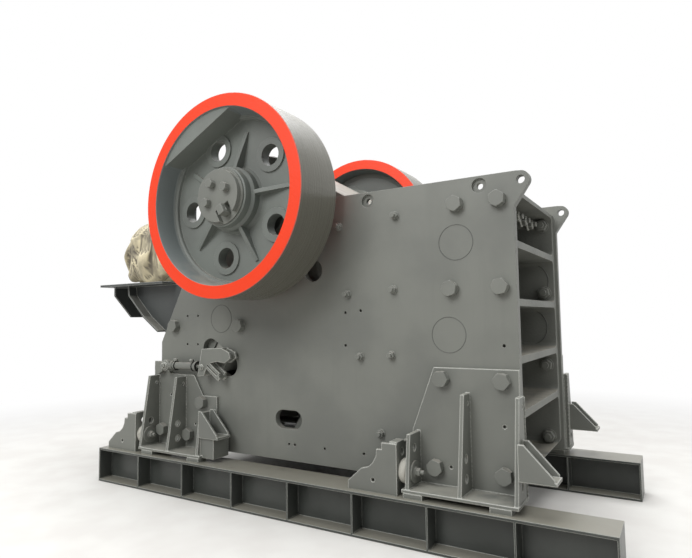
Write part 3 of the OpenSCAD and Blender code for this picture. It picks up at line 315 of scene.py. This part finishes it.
def shade_nodes(look):
    """Gives every CAD node its finish."""
    # Welded work and small pieces
    enamel = machine_enamel("grey_machine_enamel", look.enamel, "#6c6e69", "#a8a39a", "#a9aba4")
    # Castings, where the same enamel lies on a rough skin
    casting = machine_enamel("grey_enamel_on_casting", look.enamel, "#6a6c67", "#aaa498",
                             "#a3a59e", rough=0.56, cast=0.5)
    # Flywheels: an orange ring on each face, a turned rim, painted reflection on the inner walls
    wheel = machine_enamel("flywheel_enamel", "#747974", "#6a6d69", "#a09b91", "#a3a59e",
                           cast=0.3, face_ring=look.ring, turned="#68675e", inner_wall_reflection="#757c7c")
    # Flame-cut plates, whose edges carry an unbroken painted highlight, nearly white
    plates = machine_enamel("grey_enamel_on_plate_work", look.enamel, "#6c6e69", "#aaa89e",
                            "#e2e4dc", rough=0.44, edge_mm=12.0, edge_gaps=0.0)
    # The motor's bracket, in a darker grey that paints in the shade under the deck, under even
    # dust
    shaded = machine_enamel("dark_enamel_on_bracket", "#454847", "#3c3f3f", "#aeaca3",
                            "#c6c8c0", rough=0.46, edge_mm=9.0, edge_gaps=0.1, dust_and_top_light_amount=0.75,
                            even_dust_and_top_light=0.15)
    # Rolled beams of the skid, in a darker, glossier coat, darker still as painted shade under
    # the flanges; the even pale flange tops are dust and partly a painted reflection of the roof
    skid = machine_enamel("skid_enamel", look.skid, "#373a37", "#99968a", "#b9bcb4", rough=0.34,
                          dust_and_top_light_amount=0.75, edge_mm=8.0, edge_gaps=0.05, even_dust_and_top_light=0.2)
    manganese = manganese_steel("manganese_steel", "#4f4e4a", "#3f3e3c", "#8a8883")
    steel = machined_steel("machined_steel", "#a2a29c", "#85857f")
    rubber = moulded_rubber("pale_rubber", "#b7b6ad", "#a19f96")
    finishes = (
        (skid, ("skid_beam_right", "skid_beam_left")),
        (casting, ("front_frame", "rear_frame", "pitman", "bearing_housing_right",
                   "bearing_housing_left")),
        (wheel, ("flywheel_right", "flywheel_left")),
        (manganese, ("movable_jaw_die", "fixed_jaw_die", "cheek_plates")),
        (steel, ("eccentric_shaft", "wedge_block", "sliding_wedges", "tension_rods")),
        (rubber, ("rubber_buffers",)),
        (shaded, ("motor_bracket",)),
        (plates, ("front_foot_right", "front_foot_left", "rear_foot_right", "rear_foot_left",
                  "end_stops", "adjuster_right", "adjuster_left", "pitman_guard", "foot_pads")),
    )
    by_node = {name: mat for mat, names in finishes for name in names}
    for name, obj in NODES.items():
        mat = by_node.get(name, enamel)
        if not obj.material_slots:
            obj.data.materials.append(mat)
        for place in obj.material_slots:
            place.material = mat


def finish_of(node):
    """The finish that a CAD node has been given."""
    return NODES[node].material_slots[0].material


# Pieces

def new_piece(name, bm, mat, body="frame", smooth=False):
    """Turns a bmesh in the row frame into a finished piece that rides on a body."""
    bmesh.ops.remove_doubles(bm, verts=bm.verts, dist=1e-6)
    bmesh.ops.recalc_face_normals(bm, faces=bm.faces)
    mesh = bpy.data.meshes.new(name)
    bm.to_mesh(mesh)
    bm.free()
    mesh.materials.append(mat)
    for face in mesh.polygons:
        face.use_smooth = smooth
    obj = bpy.data.objects.new(name, mesh)
    bpy.context.scene.collection.objects.link(obj)
    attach(obj, body)


def loose_object(name, bm):
    """Puts a bmesh in the scene as an object, as it is."""
    mesh = bpy.data.meshes.new(name)
    bm.to_mesh(mesh)
    bm.free()
    obj = bpy.data.objects.new(name, mesh)
    bpy.context.scene.collection.objects.link(obj)
    return obj


# The wrapped motor: widths along X and Y by height, from its feet (-1) to its top (1), as
# shares of its half sizes
GIRTH = ((-1.0, 0.70, 0.84), (-0.5, 0.97, 0.98), (0.0, 1.0, 1.0), (0.45, 0.95, 0.98),
         (0.8, 0.84, 0.92), (1.0, 0.66, 0.82))
# How far its middle lies from the motor's, and its half sizes pass the motor's, because the
# cloth stands off the motor, more over its top than at its sides
WRAP_SHIFT, WRAP_GROWTH = Vector((-0.025, 0.0, 0.05)), Vector((0.015, 0.0, 0.05))
# Share of the half sizes, cuts along an edge, and squareness, of what the cloth is drawn in
# over, and of the slack cloth
CORE, SLACK = (0.96, 14, 4.0), (1.04, 46, 3.5)
# Size of the deck under the motor, and its middle below the motor's feet
DECK_SIZE, DECK_DROP = (1.6, 2.2, 0.10), 0.048
# Heights above the feet of the hem and of the cut where the slack cloth ends
HEM, CUT = 0.006, 0.055
# Pleats of the slack cloth: depth, number round the motor, and how far they stray
PLEATS = ((0.034, 8, 3.0), (0.020, 15, -3.5))
# Frames that the cloth takes to lie still
DRAW_IN_FRAMES = 20


def wander_by(at, amount):
    """Shift of up to about amount each way that changes smoothly from place to place."""
    return amount * Vector([noise.noise(at + Vector((19.0 * i, 7.0 * i, 0.0)))
                            for i in range(3)])


def girth(height):
    """Widths along X and Y at a height from -1 to 1."""
    height = max(-1.0, min(1.0, height))
    for (z0, x0, y0), (z1, x1, y1) in zip(GIRTH, GIRTH[1:]):
        if height <= z1:
            t = (height - z0) / (z1 - z0)
            return x0 + (x1 - x0) * t, y0 + (y1 - y0) * t
    return GIRTH[-1][1:]


def sack(bm, middle, half, cuts, power):
    """Cube of many small faces, drawn in to the girth of the wrapped motor."""
    bmesh.ops.create_cube(bm, size=2.0)
    bmesh.ops.subdivide_edges(bm, edges=bm.edges[:], cuts=cuts, use_grid_fill=True)
    for vert in bm.verts:
        p = vert.co / sum(abs(c) ** power for c in vert.co) ** (1 / power)
        wide, deep = girth(p.z)
        vert.co = middle + Vector((p.x * half.x * wide, p.y * half.y * deep, p.z * half.z))


def motor_core(middle, half, feet):
    """What the cloth lies on: the motor, and the deck under it."""
    share, cuts, power = CORE
    bm = bmesh.new()
    sack(bm, middle, half * share, cuts, power)
    deck = bmesh.ops.create_cube(bm, size=1.0)["verts"]
    place = Matrix.Translation((middle.x, middle.y, feet - DECK_DROP))
    bmesh.ops.transform(bm, matrix=place @ Matrix.Diagonal((*DECK_SIZE, 1.0)), verts=deck)
    return loose_object("motor_core", bm)


def slack_cloth(middle, half, feet, top):
    """The cloth before it is drawn in, in loose pleats; returns it and its hem's vertices."""
    share, cuts, power = SLACK
    bm = bmesh.new()
    sack(bm, middle, half * share, cuts, power)
    gone = [f for f in bm.faces if f.calc_center_median().z < feet + CUT]
    bmesh.ops.delete(bm, geom=gone, context="FACES")
    for vert in bm.verts:
        out = Vector((vert.co.x - middle.x, vert.co.y - middle.y, 0.0))
        turn = math.atan2(out.y, out.x)
        stray = 1.6 * noise.noise(vert.co * 2.2)
        pleat = sum(depth * math.sin(count * turn + bend * stray)
                    for depth, count, bend in PLEATS)
        # Pleats run out towards the hem and over the top
        rise = min(1.0, (vert.co.z - feet) / 0.10) * min(1.0, (top + 0.12 - vert.co.z) / 0.16)
        vert.co += out.normalized() * pleat * rise + wander_by(vert.co * 4.5, 0.06 * rise)
        vert.co.z = max(vert.co.z, feet + HEM)
        if vert.is_boundary:
            vert.co.z = feet + HEM
    bm.verts.index_update()
    tied = [v.index for v in bm.verts if v.is_boundary]
    return loose_object("motor_wrap", bm), tied


def settle(cloth, tied, body, frames):
    """Draws a cloth in over a solid body, held at its tied vertices, and keeps that mesh."""
    scene = bpy.context.scene
    cloth.vertex_groups.new(name="tied").add(tied, 1.0, "REPLACE")
    hard = body.modifiers.new("hard", "COLLISION")
    body.collision.thickness_outer = 0.004
    body.collision.cloth_friction = 20.0
    soft = cloth.modifiers.new("soft", "CLOTH")
    rules = soft.settings
    # Limp, hard to stretch, pulled in lightly from all round, and damped so that it comes to rest
    rules.quality = 6
    rules.mass = 0.4
    rules.tension_stiffness = rules.compression_stiffness = 40.0
    rules.shear_stiffness = 12.0
    rules.bending_stiffness = 1.6
    rules.air_damping = 6.0
    rules.tension_damping = rules.compression_damping = rules.shear_damping = 25.0
    rules.use_pressure = True
    rules.uniform_pressure_force = -1.6
    rules.vertex_group_mass = "tied"
    soft.collision_settings.distance_min = 0.006
    soft.collision_settings.use_self_collision = False
    soft.point_cache.frame_start, soft.point_cache.frame_end = 1, frames
    for moment in range(1, frames + 1):
        scene.frame_set(moment)
    seen = cloth.evaluated_get(bpy.context.evaluated_depsgraph_get())
    settled = bpy.data.meshes.new_from_object(seen)
    cloth.modifiers.clear()
    cloth.vertex_groups.clear()
    body.modifiers.remove(hard)
    old, cloth.data = cloth.data, settled
    bpy.data.meshes.remove(old)
    scene.frame_set(1)


def mark_cloth(mesh, middle):
    """Gives a cloth its crest attribute, 1 on ridges and 0 in folds, and UVs for its weave.

    The crest attribute places painted light on the ridges and painted shade in the folds.
    """
    bm = bmesh.new()
    bm.from_mesh(mesh)
    crest = bm.verts.layers.float.new("crest")
    uv = bm.loops.layers.uv.new("weave")
    for vert in bm.verts:
        around = [e.other_vert(vert).co for e in vert.link_edges]
        lift = (vert.co - sum(around, Vector()) / len(around)).dot(vert.normal)
        vert[crest] = min(1.0, max(0.0, 0.5 + lift / 0.005))
    for face in bm.faces:
        on_top = abs(face.normal.z) > 0.7
        for loop in face.loops:
            co = loop.vert.co
            turn = math.atan2(co.y - middle.y, co.x - middle.x)
            loop[uv].uv = (turn * 0.45, co.z + 0.4 * (co.y - middle.y) * on_top)
    bm.to_mesh(mesh)
    bm.free()


def wrapped_motor(mat):
    """Cloth thrown over the motor, drawn in over it and tied round its feet."""
    low, high = (Vector(c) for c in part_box("motor_cover"))
    middle, half = (low + high) / 2 + WRAP_SHIFT, (high - low) / 2 + WRAP_GROWTH
    core = motor_core(middle, half, low.z)
    wrap, tied = slack_cloth(middle, half, low.z, high.z)
    settle(wrap, tied, core, DRAW_IN_FRAMES)
    bpy.data.objects.remove(core)
    mark_cloth(wrap.data, middle)
    wrap.data.materials.clear()
    wrap.data.materials.append(mat)
    for face in wrap.data.polygons:
        face.use_smooth = True
    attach(wrap, "frame")
    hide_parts("motor_cover")


def bead(bm, start, end, radius, step=0.012):
    """Weld bead from start to end: one ring drawn along, with a ripple at each step."""
    start, end = Vector(start), Vector(end)
    count = max(2, round((end - start).length / step))
    turn = (end - start).to_track_quat("Z", "Y").to_matrix().to_4x4()
    ring = bmesh.ops.create_circle(bm, cap_ends=True, segments=6, radius=radius * 0.5,
                                   matrix=Matrix.Translation(start) @ turn)
    edges = list({e for v in ring["verts"] for e in v.link_edges})
    size = 0.5
    for i in range(1, count + 1):
        made = bmesh.ops.extrude_edge_only(bm, edges=edges)["geom"]
        verts = [v for v in made if isinstance(v, bmesh.types.BMVert)]
        edges = [e for e in made if isinstance(e, bmesh.types.BMEdge)]
        ripple = 0.86 + 0.2 * math.sin(i * 2.4)
        swell = 0.5 if i == count else ripple + random.uniform(-0.08, 0.08)
        bmesh.ops.translate(bm, verts=verts, vec=(end - start) / count)
        middle = Matrix.Translation(-start.lerp(end, i / count))
        bmesh.ops.scale(bm, verts=verts, vec=(swell / size,) * 3, space=middle)
        size = swell
    bmesh.ops.holes_fill(bm, edges=edges, sides=6)


def round_bead(bm, centre, radius, thick, about_x=False, segments=72):
    """Closed ring of round section about the Y axis through centre, or about the X axis."""
    made = bmesh.ops.create_circle(bm, cap_ends=False, segments=8, radius=thick)
    stand = Matrix.Rotation(math.pi / 2, 4, "Y") if about_x else Matrix.Identity(4)
    start = Vector(centre) + Vector((0, 0, radius) if about_x else (radius, 0, 0))
    bmesh.ops.transform(bm, matrix=Matrix.Translation(start) @ stand, verts=made["verts"])
    edges = list({e for v in made["verts"] for e in v.link_edges})
    bmesh.ops.spin(bm, geom=made["verts"] + edges, cent=centre,
                   axis=(1, 0, 0) if about_x else (0, 1, 0), angle=math.tau, steps=segments,
                   use_merge=True)


def head(bm, centre, radius, height, way, sides=32, turn=0.0):
    """Bevelled disc, or hexagon head with 6 sides, standing out along Y from centre."""
    made = bmesh.ops.create_cone(bm, cap_ends=True, segments=sides, radius1=radius,
                                 radius2=radius, depth=height)["verts"]
    # A hexagon is bevelled only at its outer end, a disc at both
    rims = [e for e in {e for v in made for e in v.link_edges}
            if abs(e.verts[0].co.z - e.verts[1].co.z) < 1e-6
            and (e.verts[0].co.z > 0 or sides > 6)]
    cut = bmesh.ops.bevel(bm, geom=rims, offset=height * 0.12, offset_type="OFFSET", segments=2,
                          affect="EDGES", profile=0.5, material=-1)
    verts = list({v for v in made if v.is_valid} | set(cut["verts"]))
    stand = Matrix.Rotation(-way * math.pi / 2, 4, "X") @ Matrix.Rotation(turn, 4, "Z")
    place = Matrix.Translation(Vector(centre) + Vector((0, way * height / 2, 0)))
    bmesh.ops.transform(bm, matrix=place @ stand, verts=verts)


def foot_welds(radius, mat):
    """Fillet welds round the gussets of the four feet."""
    root = FOOT_OUT + 0.001
    for side, word in SIDES:
        for end, place in ((1, "front"), (-1, "rear")):
            bm = bmesh.new()
            for from_middle, top in GUSSETS:
                for flank in (-1, 1):
                    x = (FEET_MID + end * from_middle + flank * GUSSET_FLANK) * MM
                    bead(bm, (x, side * root, FOOT_BASE + 0.002),
                         (x, side * root, top * MM - 0.004), radius)
                    bead(bm, (x, side * (FOOT_OUT + 0.004), FOOT_BASE),
                         (x, side * (PLATE_OUT + 0.228), FOOT_BASE), radius)
            start, stop = sorted((FEET_MID + end * reach) * MM for reach in PLATE_SEAM)
            bead(bm, (start, side * root, FOOT_BASE), (stop, side * root, FOOT_BASE), radius)
            new_piece(f"foot_welds_{place}_{word}", bm, mat, smooth=True)


def housing_bolts(mat):
    """Two rings of bolts that hold each bearing housing and its cover."""
    # Number, radius of the ring, distance of its face along Y, size across corners, height
    rings = ((10, 0.385, 0.762, 0.052, 0.026), (8, 0.253, 0.807, 0.036, 0.018))
    # The outer ring has no bolts below this height
    lowest = 2.12
    for way, word in SIDES:
        bm = bmesh.new()
        for count, radius, face, across, height in rings:
            for i in range(count):
                turn = math.tau * (i + 0.5) / count
                at = (SHAFT.x + radius * math.cos(turn), way * face,
                      SHAFT.z + radius * math.sin(turn))
                if count == 8 or at[2] >= lowest:
                    head(bm, at, across / 2, height, way, 6, turn)
        new_piece(f"housing_bolts_{word}", bm, mat)


def plug_seams(mat):
    """Caulked seams round the locking pins that lie flush in the side plates."""
    pins = ((1.376, 1.971, 0.120), (1.310, 1.347, 0.120), (-0.770, 1.481, 0.119))
    # Cast-in circles on the inner faces of the front casting's side flanges
    circles = ((1.550, 1.757, 0.158), (1.535, 1.372, 0.150))
    for way, word in SIDES:
        bm = bmesh.new()
        for x, z, radius in pins:
            round_bead(bm, (x, way * (PLATE_OUT - 0.0006), z), radius, 0.0030)
        for x, z, radius in circles:
            round_bead(bm, (x, way * (FLANGE_IN + 0.0010), z), radius, 0.0050)
        new_piece(f"plug_seams_{word}", bm, mat, smooth=True)


def beam_welds(radius, mat):
    """Fillet welds of the upright stiffeners in the skid beams."""
    # Reach of the flanges and the web's face from its middle, and the flanges' inner faces
    reach, web, low, high = 0.138, 0.006, 0.018, 0.282
    last, step = 8, 0.02
    for side, word in SIDES:
        bm = bmesh.new()
        for i in range(last + 1):
            x = BEAM_START + max(web, min(BEAM_LENGTH - web, i * BEAM_LENGTH / last))
            for flank in (-1, 1):
                # The end stiffeners have no weld on their outer face
                if (i, flank) in ((0, -1), (last, 1)):
                    continue
                at = x + flank * 0.0065
                for out in (-1, 1):
                    root = side * BEAM_Y + out * (web + 0.0015)
                    tip = side * BEAM_Y + out * (reach - 0.004)
                    bead(bm, (at, root, low + 0.002), (at, root, high - 0.002), radius, step)
                    for z in (low + 0.0015, high - 0.0015):
                        bead(bm, (at, root, z), (at, tip, z), radius, step)
        new_piece(f"beam_welds_{word}", bm, mat, smooth=True)


def hub_keys(mat):
    """Gib-head key that locks each flywheel, standing out of the notch in the end disc."""
    angle, radius, face = math.radians(298), 0.132, 1.279
    size = Matrix.Diagonal((0.074, 0.082, 0.058, 1.0))
    for way, word in SIDES:
        bm = bmesh.new()
        made = bmesh.ops.create_cube(bm, size=1.0)["verts"]
        turn = Matrix.Rotation(-angle, 4, "Y")
        at = Matrix.Translation((SHAFT.x + radius * math.cos(angle), way * face,
                                 SHAFT.z + radius * math.sin(angle)))
        bmesh.ops.transform(bm, matrix=at @ turn @ size, verts=made)
        bmesh.ops.bevel(bm, geom=bm.edges[:], offset=0.004, offset_type="OFFSET", segments=2,
                        affect="EDGES", profile=0.5, material=-1)
        new_piece(f"hub_key_{word}", bm, mat, body="rotor")


def cylinder_fittings(mat):
    """Eyes, pin heads, gland rings and oil ports of the two adjusting cylinders."""
    y, z, eye, front = PLATE_OUT + 0.073, 1.069, -1.352, -0.882
    glands = ((-1.236, 0.036, 0.007), (-1.020, 0.036, 0.007), (-0.966, 0.040, 0.006))
    ports = (-1.250, -1.050)
    for way, word in SIDES:
        bm = bmesh.new()
        head(bm, (eye, way * (y - 0.024), z), 0.050, 0.062, way)
        head(bm, (eye, way * (y + 0.038), z), 0.030, 0.010, way)
        head(bm, (eye, way * (y + 0.048), z), 0.023, 0.020, way, 6, 0.3)
        head(bm, (front, way * (y + 0.042), z), 0.026, 0.008, way)
        head(bm, (front, way * (y + 0.050), z), 0.020, 0.016, way, 6, 0.8)
        for x, radius, thick in glands:
            round_bead(bm, (x, way * y, z), radius, thick, about_x=True, segments=32)
        for x in ports:
            bmesh.ops.create_cone(bm, cap_ends=True, segments=6, radius1=0.020, radius2=0.020,
                                  depth=0.018, matrix=Matrix.Translation((x, way * y, z + 0.052)))
        new_piece(f"cylinder_fittings_{word}", bm, mat)


def clamp_studs(count, mat):
    """Long studs of the fixed jaw in the top pocket, each with a tube, a washer and a nut."""
    height, pitch = 2.228, 0.22
    # Tube, washer, nut and stud's end: radius, start and end along X, sides
    lengths = ((0.032, 1.315, 1.592, 20), (0.048, 1.586, 1.598, 24),
               (0.041, 1.596, 1.634, 6), (0.020, 1.630, 1.662, 16))
    bm = bmesh.new()
    for i in range(count):
        turn = Matrix.Rotation(math.pi / 2, 4, "Y") @ Matrix.Rotation(0.4 * i, 4, "Z")
        for radius, start, end, sides in lengths:
            place = Matrix.Translation(((start + end) / 2, pitch * (i - (count - 1) / 2), height))
            bmesh.ops.create_cone(bm, cap_ends=True, segments=sides, radius1=radius,
                                  radius2=radius, depth=end - start, matrix=place @ turn)
    new_piece("clamp_studs", bm, mat)


# Stage

# Lamps: name, place, what it points at, and size
LAMPS = (("roof", (0.0, 0.5, 8.5), (0.0, 0.0, 0.0), 9.0),
         ("key", (-1.5, -11.0, 8.6), (0.0, -0.7, 0.9), 6.5),
         ("fill", (8.0, -2.0, 5.5), (1.0, 0.0, 1.2), 4.0))
CAMERA_AT = (2.6632, -4.2804, 1.4662)


def seen_directly(tree):
    """1 for rays from the camera and those mirrored or let through, 0 for the others."""
    path = put(tree, "ShaderNodeLightPath")
    seen = put(tree, MATH, {0: path.outputs["Is Camera Ray"], 1: path.outputs["Is Glossy Ray"]},
               operation="MAXIMUM")
    return put(tree, MATH, {0: seen, 1: path.outputs["Is Transmission Ray"]},
               operation="MAXIMUM")


def studio_floor():
    """Floor of matt pale paint, which fades to plain white away from the machine."""
    mat, tree = blank("studio_floor")
    place = put(tree, COORDS).outputs["Object"]
    speck = put(tree, NOISE, {"Vector": place, "Scale": grain(333.3)})
    share = put(tree, RANGE, {"Value": speck, "From Min": 0.3, "From Max": 0.7}, **SMOOTH)
    colour = put(tree, MIX, {0: share, 6: "#ecebe7", 7: "#e6e4e0"}, **COLOUR)
    seen = seen_directly(tree)
    colour = put(tree, MIX, {0: seen, 6: "#cbc8c2", 7: colour}, **COLOUR)
    reach = put(tree, VECTOR, {0: place}, operation="LENGTH").outputs["Value"]
    away = put(tree, RANGE, {"Value": reach, "From Min": 3.0, "From Max": 8.0}, **SMOOTH)
    far = put(tree, MATH, {0: seen, 1: away}, **TIMES)
    near = put(tree, "ShaderNodeBsdfDiffuse", {"Color": colour, "Roughness": 0.0})
    white = put(tree, "ShaderNodeEmission", {"Color": "#ffffff", "Strength": 1.0})
    both = put(tree, "ShaderNodeMixShader", {0: far, 1: near, 2: white})
    put(tree, "ShaderNodeOutputMaterial", {"Surface": both})
    bm = bmesh.new()
    bmesh.ops.create_grid(bm, x_segments=1, y_segments=1, size=40.0)
    floor = loose_object("floor", bm)
    floor.data.materials.append(mat)


def studio_world(strength):
    """Even light from all round, and plain white where it is seen, mirrored or let through."""
    world = bpy.data.worlds.new("studio")
    bpy.context.scene.world = world
    world.use_nodes = True
    tree = world.node_tree
    tree.nodes.clear()
    even = put(tree, "ShaderNodeBackground", {"Color": "#f4f4f6", "Strength": strength})
    white = put(tree, "ShaderNodeBackground", {"Color": "#ffffff", "Strength": 1.0})
    both = put(tree, "ShaderNodeMixShader", {0: seen_directly(tree), 1: even, 2: white})
    put(tree, "ShaderNodeOutputWorld", {"Surface": both})


def area_lamp(name, place, target, size, power):
    """A square soft lamp at place, pointed at target."""
    data = bpy.data.lights.new(name, "AREA")
    data.shape = "SQUARE"
    data.size = size
    data.energy = power
    lamp = bpy.data.objects.new(name, data)
    turn = (Vector(target) - Vector(place)).to_track_quat("-Z", "Y").to_matrix().to_4x4()
    lamp.matrix_world = Matrix.Translation(place) @ turn
    bpy.context.scene.collection.objects.link(lamp)


def photo_camera(yaw, pitch, roll, lens):
    """The camera where the photograph was taken from, near floor level."""
    scene = bpy.context.scene
    data = bpy.data.cameras.new("camera")
    data.sensor_width = 36.0
    data.lens = lens
    camera = bpy.data.objects.new("camera", data)
    ahead = Vector((-math.sin(yaw) * math.cos(pitch), math.cos(yaw) * math.cos(pitch),
                    math.sin(pitch)))
    right = Vector((math.cos(yaw), math.sin(yaw), 0.0))
    up = right.cross(ahead)
    level = right * math.cos(roll) + up * math.sin(roll)
    top = up * math.cos(roll) - right * math.sin(roll)
    turn = Matrix((level, top, -ahead)).transposed().to_4x4()
    camera.matrix_world = Matrix.Translation(CAMERA_AT) @ turn
    scene.collection.objects.link(camera)
    scene.camera = camera


# Settings

class CrusherLook(bpy.types.PropertyGroup):
    """Colours of the finishes"""
    enamel: StringProperty(name="Enamel", description="Colour of the grey enamel, as sRGB hex",
                           default="#777973")
    # The skid's colour is darker partly as painted shade under the flanges
    skid: StringProperty(name="Skid enamel", description="Colour of the skid beams, as sRGB hex",
                         default="#464946")
    ring: StringProperty(name="Ring", description="Colour of the flywheels' faces, as sRGB hex",
                         default="#ee3a06")
    # The wrapping's crest colour is painted light and its fold colour painted shade
    cloth: StringProperty(name="Cloth", description="Colour of the wrapping's crests, as sRGB hex",
                          default="#e2d7b6")
    fold_shade: StringProperty(name="Folds", description="Colour in the wrapping's folds, as sRGB hex",
                         default="#6d675b")


class CrusherSizes(bpy.types.PropertyGroup):
    """Sizes of the added pieces"""
    thread: FloatProperty(name="Thread spacing", description="Spacing of the wrapping's threads",
                          default=0.0178, min=0.001, subtype="DISTANCE", unit="LENGTH")
    foot_weld: FloatProperty(name="Foot weld", description="Radius of the beads on the feet",
                             default=0.0065, min=0.001, subtype="DISTANCE", unit="LENGTH")
    beam_weld: FloatProperty(name="Beam weld", description="Radius of the beads in the skid",
                             default=0.006, min=0.001, subtype="DISTANCE", unit="LENGTH")
    studs: IntProperty(name="Clamp studs", description="Number of studs in the top pocket",
                       default=5, min=1)


class CrusherStage(bpy.types.PropertyGroup):
    """Camera and lamps"""
    yaw: FloatProperty(name="Yaw", description="Turn of the camera from straight ahead",
                       default=math.radians(31.19), subtype="ANGLE")
    pitch: FloatProperty(name="Pitch", description="Tilt of the camera above the horizon",
                         default=math.radians(4.10), subtype="ANGLE")
    roll: FloatProperty(name="Roll", description="Roll of the camera about its view",
                        default=math.radians(-0.82), subtype="ANGLE")
    lens: FloatProperty(name="Lens", description="Focal length on a 36 mm wide sensor",
                        default=28.78, min=1.0, unit="CAMERA")
    roof: FloatProperty(name="Roof light", description="Power of the wide lamp overhead",
                        default=900.0, min=0.0, unit="POWER")
    key: FloatProperty(name="Key light", description="Power of the large lamp over the camera",
                       default=980.0, min=0.0, unit="POWER")
    fill: FloatProperty(name="Fill light", description="Power of the lamp beside the jaw end",
                        default=120.0, min=0.0, unit="POWER")
    sky: FloatProperty(name="Sky", description="Strength of the even light from all round",
                       default=0.26, min=0.0)


# Operators

class CRUSHER_OT_finishes(bpy.types.Operator):
    """Paint and bare-metal finishes on the CAD nodes"""
    bl_idname = "crusher.finishes"
    bl_label = "Finishes"

    def execute(self, context):
        shade_nodes(context.scene.crusher_look)
        return {"FINISHED"}


class CRUSHER_OT_wrapping(bpy.types.Operator):
    """Cloth wrapping over the motor"""
    bl_idname = "crusher.wrapping"
    bl_label = "Motor wrapping"

    def execute(self, context):
        look, sizes = context.scene.crusher_look, context.scene.crusher_sizes
        wrapped_motor(woven_cloth("woven_wrapping_cloth", look.cloth, look.fold_shade, sizes.thread))
        return {"FINISHED"}


class CRUSHER_OT_foot_welds(bpy.types.Operator):
    """Weld seams of the feet"""
    bl_idname = "crusher.foot_welds"
    bl_label = "Welds of the feet"

    def execute(self, context):
        # The beads' ripples are drawn here and go on in the beams' welds
        random.seed(7)
        foot_welds(context.scene.crusher_sizes.foot_weld, finish_of("end_stops"))
        return {"FINISHED"}


class CRUSHER_OT_housing_bolts(bpy.types.Operator):
    """Bolts of the bearing housings"""
    bl_idname = "crusher.housing_bolts"
    bl_label = "Housing bolts"

    def execute(self, context):
        housing_bolts(finish_of("end_stops"))
        return {"FINISHED"}


class CRUSHER_OT_plug_seams(bpy.types.Operator):
    """Seams round the locking pins and circles in the front casting"""
    bl_idname = "crusher.plug_seams"
    bl_label = "Pin seams"

    def execute(self, context):
        # The same enamel where it has sunk in, a shade darker
        plug_seams(machine_enamel("seam_enamel", "#5c5e59", "#51534f", "#77756e", "#6f716b"))
        return {"FINISHED"}


class CRUSHER_OT_beam_welds(bpy.types.Operator):
    """Weld seams of the skid beams"""
    bl_idname = "crusher.beam_welds"
    bl_label = "Welds of the beams"

    def execute(self, context):
        beam_welds(context.scene.crusher_sizes.beam_weld, finish_of("skid_beam_right"))
        return {"FINISHED"}


class CRUSHER_OT_hub_keys(bpy.types.Operator):
    """Keys of the flywheels"""
    bl_idname = "crusher.hub_keys"
    bl_label = "Hub keys"

    def execute(self, context):
        hub_keys(finish_of("shaft_caps"))
        return {"FINISHED"}


class CRUSHER_OT_cylinder_fittings(bpy.types.Operator):
    """Fittings of the adjusting cylinders"""
    bl_idname = "crusher.cylinder_fittings"
    bl_label = "Cylinder fittings"

    def execute(self, context):
        cylinder_fittings(finish_of("end_stops"))
        return {"FINISHED"}


class CRUSHER_OT_clamp_studs(bpy.types.Operator):
    """Studs of the fixed jaw in the top pocket"""
    bl_idname = "crusher.clamp_studs"
    bl_label = "Clamp studs"

    def execute(self, context):
        clamp_studs(context.scene.crusher_sizes.studs, finish_of("end_stops"))
        return {"FINISHED"}


class CRUSHER_OT_stage(bpy.types.Operator):
    """Pale floor, soft studio light and the camera"""
    bl_idname = "crusher.stage"
    bl_label = "Stage"

    def execute(self, context):
        stage = context.scene.crusher_stage
        context.scene.view_settings.view_transform = "Standard"
        studio_floor()
        studio_world(stage.sky)
        for name, place, target, size in LAMPS:
            area_lamp(name, place, target, size, getattr(stage, name))
        photo_camera(stage.yaw, stage.pitch, stage.roll, stage.lens)
        return {"FINISHED"}


class CRUSHER_PT_panel(bpy.types.Panel):
    """The crusher's pieces in the sidebar"""
    bl_label = "Jaw crusher"
    bl_space_type = "VIEW_3D"
    bl_region_type = "UI"
    bl_category = "Crusher"

    def draw(self, context):
        for name, group in GROUPS:
            for setting in group.__annotations__:
                self.layout.prop(getattr(context.scene, name), setting)
        for step in STEPS:
            self.layout.operator(step.bl_idname)


STEPS = (CRUSHER_OT_finishes, CRUSHER_OT_wrapping, CRUSHER_OT_foot_welds,
         CRUSHER_OT_housing_bolts, CRUSHER_OT_plug_seams, CRUSHER_OT_beam_welds,
         CRUSHER_OT_hub_keys, CRUSHER_OT_cylinder_fittings, CRUSHER_OT_clamp_studs,
         CRUSHER_OT_stage)
GROUPS = (("crusher_look", CrusherLook), ("crusher_sizes", CrusherSizes),
          ("crusher_stage", CrusherStage))


def register():
    """Makes the settings, the operators and the panel known to Blender."""
    for name, group in GROUPS:
        bpy.utils.register_class(group)
        setattr(bpy.types.Scene, name, PointerProperty(type=group))
    for panel_or_step in (*STEPS, CRUSHER_PT_panel):
        bpy.utils.register_class(panel_or_step)


def unregister():
    """Takes away what register has added."""
    for panel_or_step in (CRUSHER_PT_panel, *reversed(STEPS)):
        bpy.utils.unregister_class(panel_or_step)
    for name, group in reversed(GROUPS):
        delattr(bpy.types.Scene, name)
        bpy.utils.unregister_class(group)


def main():
    """Makes every piece in order, then the stage."""
    register()
    for step in STEPS:
        area, name = step.bl_idname.split(".")
        getattr(getattr(bpy.ops, area), name)()


if __name__ == "__main__":
    main()
